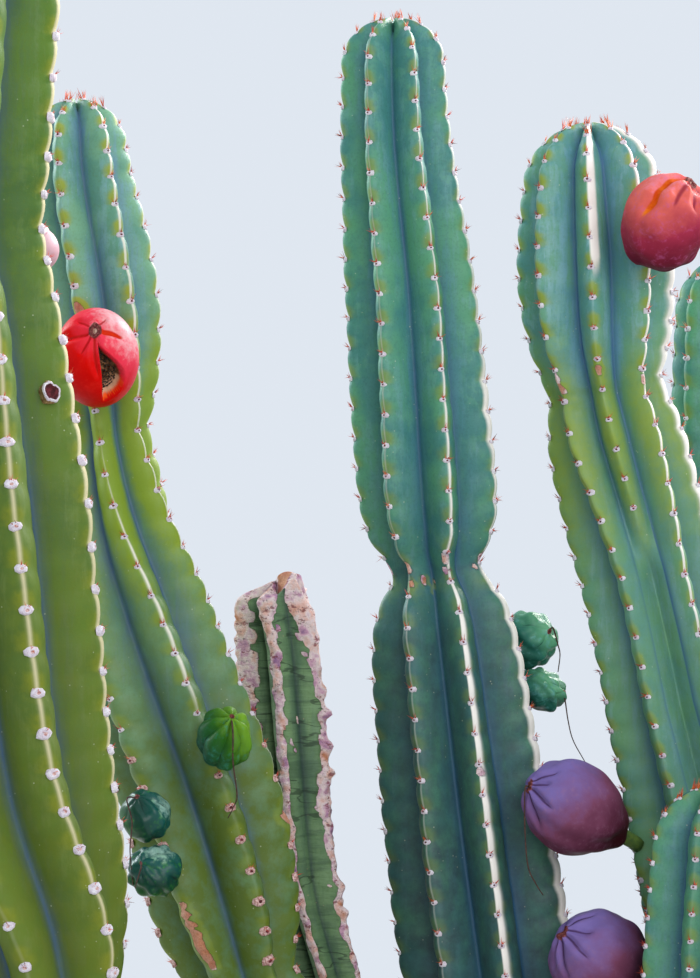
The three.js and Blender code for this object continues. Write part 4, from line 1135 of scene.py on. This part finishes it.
def growFruit(name, own, seed):
    fruit = {**plainFruit, **own}
    form = fruitForm
    middle = np.array(fruit["middle"])
    long, wide, tall = fruit["size"]
    height, degrees = fruit["foot"]
    at = stationAtHeight(stems[fruit["stem"]], height)
    side, front = (at[key] * at["radius"] for key in ("side", "front"))
    foot = (at["centre"] + side * np.sin(np.radians(degrees)) + front * np.cos(np.radians(degrees)))[0]
    axis = unit(middle - foot)
    face = unit(np.array(fruit.get("face", axis), float))
    right = unit(np.cross([0, 0, 1.0], face))
    upward = np.cross(face, right)
    rows, columns = fruit["rows"], fruit["columns"]
    away = np.linspace(0, math.pi, rows + 2)[1:-1][:, None]
    turn = roundTurn(columns)[None]
    level = right * np.cos(turn)[..., None] + upward * np.sin(turn)[..., None]
    aim = face * np.cos(away)[..., None] + level * np.sin(away)[..., None]
    stretch = np.array([1, 1, tall])
    onAxis = (aim @ axis)[..., None]
    body = (axis * onAxis * long / 2 + (aim - axis * onAxis) * wide / 2) * stretch

    # full lobes, and creases that run from the face towards the stalk
    dice = np.random.default_rng(seed)
    half = wide / 2
    crease, sunk, pulp, flesh = (np.zeros((rows, columns)) for _ in range(4))
    if fruit["lobes"]:
        swirl = turn * fruit["lobes"] / 2 + dice.uniform(0, 3)
        swirl = swirl + 0.25 * np.sin(turn + dice.uniform(0, 6)) + 0.15 * away
        between = 1 - np.abs(np.sin(swirl)) ** 0.7
        within = smooth(0.02, 0.3, away) * (1 - smooth(2.0, 3.0, away))
        sunk = fruit["deep"] * between * within
        # the crease mark darkens these lines between lobes with painted shade
        crease = between ** 6 * within
    for degrees, reach, deep, width, raw in fruit["creases"]:
        first, last = degrees if isinstance(degrees, list) else (degrees, degrees)
        line = np.radians(np.interp(away, [0.15, 1.3], [first, last]))
        line = line - 0.08 * np.sin(3 * away + first) * (first == last)
        sideways = (turn - line + math.pi) % (2 * math.pi) - math.pi
        sideways = np.abs(sideways) * np.sin(away) * half
        within = smooth(0.06, 0.2, away) * (1 - smooth(reach * 0.75, reach, away))
        width = width * (0.4 + 0.6 * np.sin(math.pi * np.clip((away + 0.2) / (reach + 0.2), 0, 1)))
        crease = np.maximum(crease, np.exp(-(sideways / (0.4 * width)) ** 2) * within)
        pulp = np.maximum(pulp, raw * np.exp(-(sideways / (0.62 * width)) ** 4) * within)
        sunk = np.maximum(sunk, deep * np.exp(-(sideways / width) ** 2) * within)
    if "split" in fruit:
        starts, low, high = np.radians(np.array(fruit["split"], float)).T
        low, high = (np.interp(away, starts, edge, left=9, right=9) for edge in (low, high))
        turned = (turn + math.pi) % (2 * math.pi) - math.pi
        inside = np.minimum(turned - low, high - turned) * np.sin(away) * half
        inside = np.minimum(inside, np.minimum(away - starts[0], starts[-1] - away) * half)
        flesh = smooth(0.0004, 0.0012, inside)
        sunk = sunk * (1 - flesh) + form["splitDepth"] * smooth(0, 0.0022, inside)
        pulp = np.where(flesh > 0, smooth(1.25, 1.5, away) + 0 * turn, pulp)
        lumps = waves(seed + 4, 8, (turn + 0 * away, 12, 40), (away + 0 * turn, 12, 40))
        sunk = sunk + form["splitLumps"] * flesh * (1 - pulp) * lumps
        # the wall on the right of the opening shows its cut face
        wall = np.minimum((high - turned) * np.sin(away), starts[-1] - away) * half
        flesh = flesh * smooth(0.0002, 0.0024, wall)
    near = away / fruit["styleSize"]
    style = np.exp(-(near / 0.14) ** 2) + 0 * turn
    scar = form["scarRise"] * np.exp(-((near - 0.13) / 0.045) ** 2)
    scar = scar - form["scarPit"] * np.exp(-(near / 0.085) ** 2)
    lumps = form["wander"] * waves(seed, 9, (turn + 0 * away, 1, 1.001), (away + 0 * turn, 1, 5))
    lumps = lumps + fruit["lumpy"] * waves(seed + 1, 9, *((aim[..., k], 4, 9) for k in range(3)))
    factor = 1 + (scar + lumps - sunk) / half
    # the end by the stalk is drawn out to a neck
    neck = fruit["neck"] * smooth(0.6, 1.0, -onAxis) ** 2
    points = middle + body * factor[..., None] - axis * neck
    onFace = (face @ axis) * axis
    ends = np.stack([middle + (onFace * long / 2 + (face - onFace) * half) * stretch * k
                     for k in (form["faceEnd"], -1)])
    bright = aim @ unit(np.array(fruit["bright"], float))
    marks = withEnds({
        "crease": (crease, 0, 0), "style": (style, 1, 0), "top": (bright, bright[0, 0], bright[-1, 0]),
        "flesh": (flesh, 0, 0), "pulp": (pulp, 0, 0)})
    faces = shellFaces(rows, columns)
    # the stalk that carries it
    way = [foot - axis * form["stalkIn"], foot + axis * form["stalkOut"], (foot + middle) / 2, middle]
    stalk, stalkFaces = tube(way, form["stalk"], form["stalkSides"])
    slots = [0] * sum(len(group) for group in faces) + [1] * sum(len(group) for group in stalkFaces)
    marks = {key: np.append(values, np.zeros(len(stalk))) for key, values in marks.items()}
    faces = faces + [group + rows * columns + 2 for group in stalkFaces]
    makePiece(name + "_body", np.vstack([points.reshape(-1, 3), ends, stalk]), faces,
              [fruitSkins[fruit["skin"]], stalkGreen], slots=slots, marks=marks, stands=[name])
    return points, flesh, ends[0]


seedForm = {
    "count": 340, "spread": 0.0005, "sizes": (0.0005, 0.0010), "shapes": (0.7, 1.3), "fleshOver": 0.9,
    "seed": 77,
}


def seedsIn(name, points, flesh, form):
    # black seeds lying in the opening
    dice = np.random.default_rng(form["seed"])
    count = form["count"]
    spots = points[flesh > form["fleshOver"]]
    spots = spots[dice.choice(len(spots), count, replace=False)]
    shape = np.array([[0, 0, 1], [1, 0, 0], [0, 1, 0], [-1, 0, 0], [0, -1, 0], [0, 0, -1]], float)
    faces = np.array([[0, 1, 2], [0, 2, 3], [0, 3, 4], [0, 4, 1], [5, 2, 1], [5, 3, 2], [5, 4, 3], [5, 1, 4]])
    spots = spots + dice.normal(0, form["spread"], (count, 3))
    size = dice.uniform(*form["sizes"], (count, 1, 1)) * dice.uniform(*form["shapes"], (count, 1, 3))
    makePiece(name, spots[:, None] + shape * size, [copyFaces(faces, len(shape), count)], [seedBlack])


flowerScars = {}
for number, (fruitName, fruit) in enumerate(fruits.items()):
    surface, opened, flowerScars[fruitName] = growFruit(fruitName, fruit, 500 + 7 * number)
    if "split" in fruit:
        seedsIn("red_fruit_seeds", surface, opened, seedForm)
print("fruit grown")


view = {"place": (-0.26, -3.94, 1.6), "halfWidth": 350, "halfHeight": 489, "focal": 4000, "sensor": 36}


def atPixel(across, down, depth):
    # the point seen at a place in the picture, at a depth along Y
    x, y, z = view["place"]
    far = (depth - y) / view["focal"]
    return [x + (across - view["halfWidth"]) * far, depth, z + (view["halfHeight"] - down) * far]


# dried threads of the flowers: each starts at a fruit's scar and hangs through places in the picture,
# given with how much nearer or farther than the scar they are
threads = {
    "green_fruit_left": [[233, 735, -0.012], [233, 762, -0.014], [237, 795, 0.004], [233, 808, 0.018],
                         [228, 818, 0.024]],
    "green_fruit_upper": [[553, 628, 0], [558, 645, 0.004], [560, 655, 0.006], [558, 672, 0.008]],
    "green_fruit_lower": [[565, 700, 0], [568, 720, 0.004], [573, 740, 0.008], [585, 762, 0.012]],
    "dark_fruit_upper": [[127, 799, -0.008], [132, 822, -0.014], [130, 850, -0.012], [133, 885, 0.0]],
    "dark_fruit_lower": [[141, 868, -0.006], [138, 878, -0.006], [135, 888, -0.002]],
    "purple_fruit_upper": [[525, 790, -0.004], [525, 830, -0.004], [528, 866, 0.0], [536, 884, 0.006],
                           [543, 895, 0.012]],
}
threadForm = {"thick": 0.0009, "thin": 0.0005, "sides": 6, "perPlace": 8}


def hangThreads(form):
    points = []
    faces = []
    count = 0
    for name, way in threads.items():
        start = flowerScars[name]
        line = [start] + [atPixel(across, down, start[1] + nearer) for across, down, nearer in way]
        t = np.linspace(0, len(line) - 1, form["perPlace"] * len(line))
        line = onCurve(np.array(line, float), t)
        made, madeFaces = tube(line, np.linspace(form["thick"], form["thin"], len(line)), form["sides"])
        points.append(made)
        faces += [group + count for group in madeFaces]
        count += len(made)
    makePiece("dried_threads", np.vstack(points), faces, [threadBrown])


hangThreads(threadForm)
print("threads hung")


# the cup's outline is rows of how wide and how far out; bands are the finish between each two of them, counted
# in wool, tan and brown
cup = {
    "middle": atPixel(48, 393, -0.429), "aim": [0.45, -0.85, 0.15], "wide": 0.0068, "tall": 0.0098,
    "columns": 28,
    "outline": [(0.7, -0.016), (1.0, -0.004), (1.08, 0.002), (1.08, 0.0055), (0.98, 0.0075), (0.82, 0.0070),
                (0.6, 0.0050), (0.45, 0.0030), (0.25, 0.0024)],
    "bands": [1, 1, 1, 0, 0, 2, 2, 2], "back": 0.016, "floor": 0.0022,
}


def brokenCup(form):
    # the torn foot of a flower: an open cup with a tan wall, a pale lip and a dark floor
    middle = np.array(form["middle"])
    columns = form["columns"]
    aim = unit(np.array(form["aim"], float))
    across = unit(np.cross(aim, [0, 0, 1.0]))
    upward = np.cross(across, aim)
    turn = roundTurn(columns)[None, :, None]
    grow, out = (np.array(column)[:, None, None] for column in zip(*form["outline"]))
    torn = 1 + 0.22 * np.sin(2 * turn + 1) * smooth(0, 0.008, out)
    torn = torn + 0.06 * np.sin(5 * turn) + 0.04 * np.sin(11 * turn)
    points = middle + across * np.cos(turn) * grow * form["wide"] * torn
    points = points + upward * np.sin(turn) * grow * form["tall"] * torn + aim * out * (0.7 + 0.5 * torn)
    points = np.vstack([points.reshape(-1, 3), middle - aim * form["back"], middle + aim * form["floor"]])
    slots = np.concatenate([np.repeat(form["bands"], columns), np.ones(columns), np.full(columns, 2)])
    makePiece("torn_flower_cup", points, shellFaces(len(form["outline"]), columns, True),
              [wool, driedTan, feltBrown], slots=slots)


brokenCup(cup)
print("cup set")


def floorFinish():
    look = Finish("pale_floor")
    grain = look.noise(look.place(), 40, 3)
    return look.cover(look.mix(grain, "b0afac", "b9b7b4"), 0.8 + 0.1 * grain)


stage = {
    "floor": 6, "sky": (0.78, 0.84, 0.92, 1), "skyPower": 0.95, "litPlace": [-0.2, 0.0, 1.4],
    "lamps": {
        "sun_side": {"place": (3.25, 2.2, 3.9), "size": 0.9, "power": 230, "colour": (1.0, 0.96, 0.93)},
        "sun_behind": {"place": (1.95, 3.45, 3.9), "size": 0.9, "power": 130, "colour": (1.0, 0.96, 0.93)},
        "sky_side": {"place": (-3.4, 2.2, 3.2), "size": 1.6, "power": 120, "colour": (0.85, 0.96, 1.0)},
        "front_fill": {"place": (1.4, -4.2, 3.4), "size": 3.0, "power": 90, "colour": (1.0, 0.98, 0.95)},
    },
}


def setStage(form):
    mesh = bpy.data.meshes.new("floor")
    corners = [(x * form["floor"], y * form["floor"], 0) for x, y in ((-1, -1), (1, -1), (1, 1), (-1, 1))]
    mesh.from_pydata(corners, [], [(0, 1, 2, 3)])
    mesh.materials.append(floorFinish())
    floor = bpy.data.objects.new("floor", mesh)
    bpy.context.scene.collection.objects.link(floor)
    world = bpy.data.worlds.new("studio")
    world.use_nodes = True
    sky = world.node_tree.nodes["Background"]
    sky.inputs["Color"].default_value = form["sky"]
    sky.inputs["Strength"].default_value = form["skyPower"]
    bpy.context.scene.world = world
    for name, lamp in form["lamps"].items():
        data = bpy.data.lights.new(name, "AREA")
        data.size = lamp["size"]
        data.energy = lamp["power"]
        data.color = lamp["colour"]
        light = bpy.data.objects.new(name, data)
        aim = np.array(form["litPlace"]) - np.array(lamp["place"])
        light.location = lamp["place"]
        light.rotation_euler = (math.acos(-aim[2] / np.linalg.norm(aim)), 0, math.atan2(-aim[0], aim[1]))
        bpy.context.scene.collection.objects.link(light)


def setCamera():
    data = bpy.data.cameras.new("camera")
    data.sensor_width = view["sensor"]
    data.lens = view["sensor"] * view["focal"] / (2 * view["halfHeight"])
    camera = bpy.data.objects.new("camera", data)
    camera.location = view["place"]
    camera.rotation_euler = (math.pi / 2, 0, 0)
    bpy.context.scene.collection.objects.link(camera)
    bpy.context.scene.camera = camera
    bpy.context.scene.view_settings.view_transform = "Standard"


setStage(stage)
setCamera()
print("stage set")

bpy.context.view_layer.update()
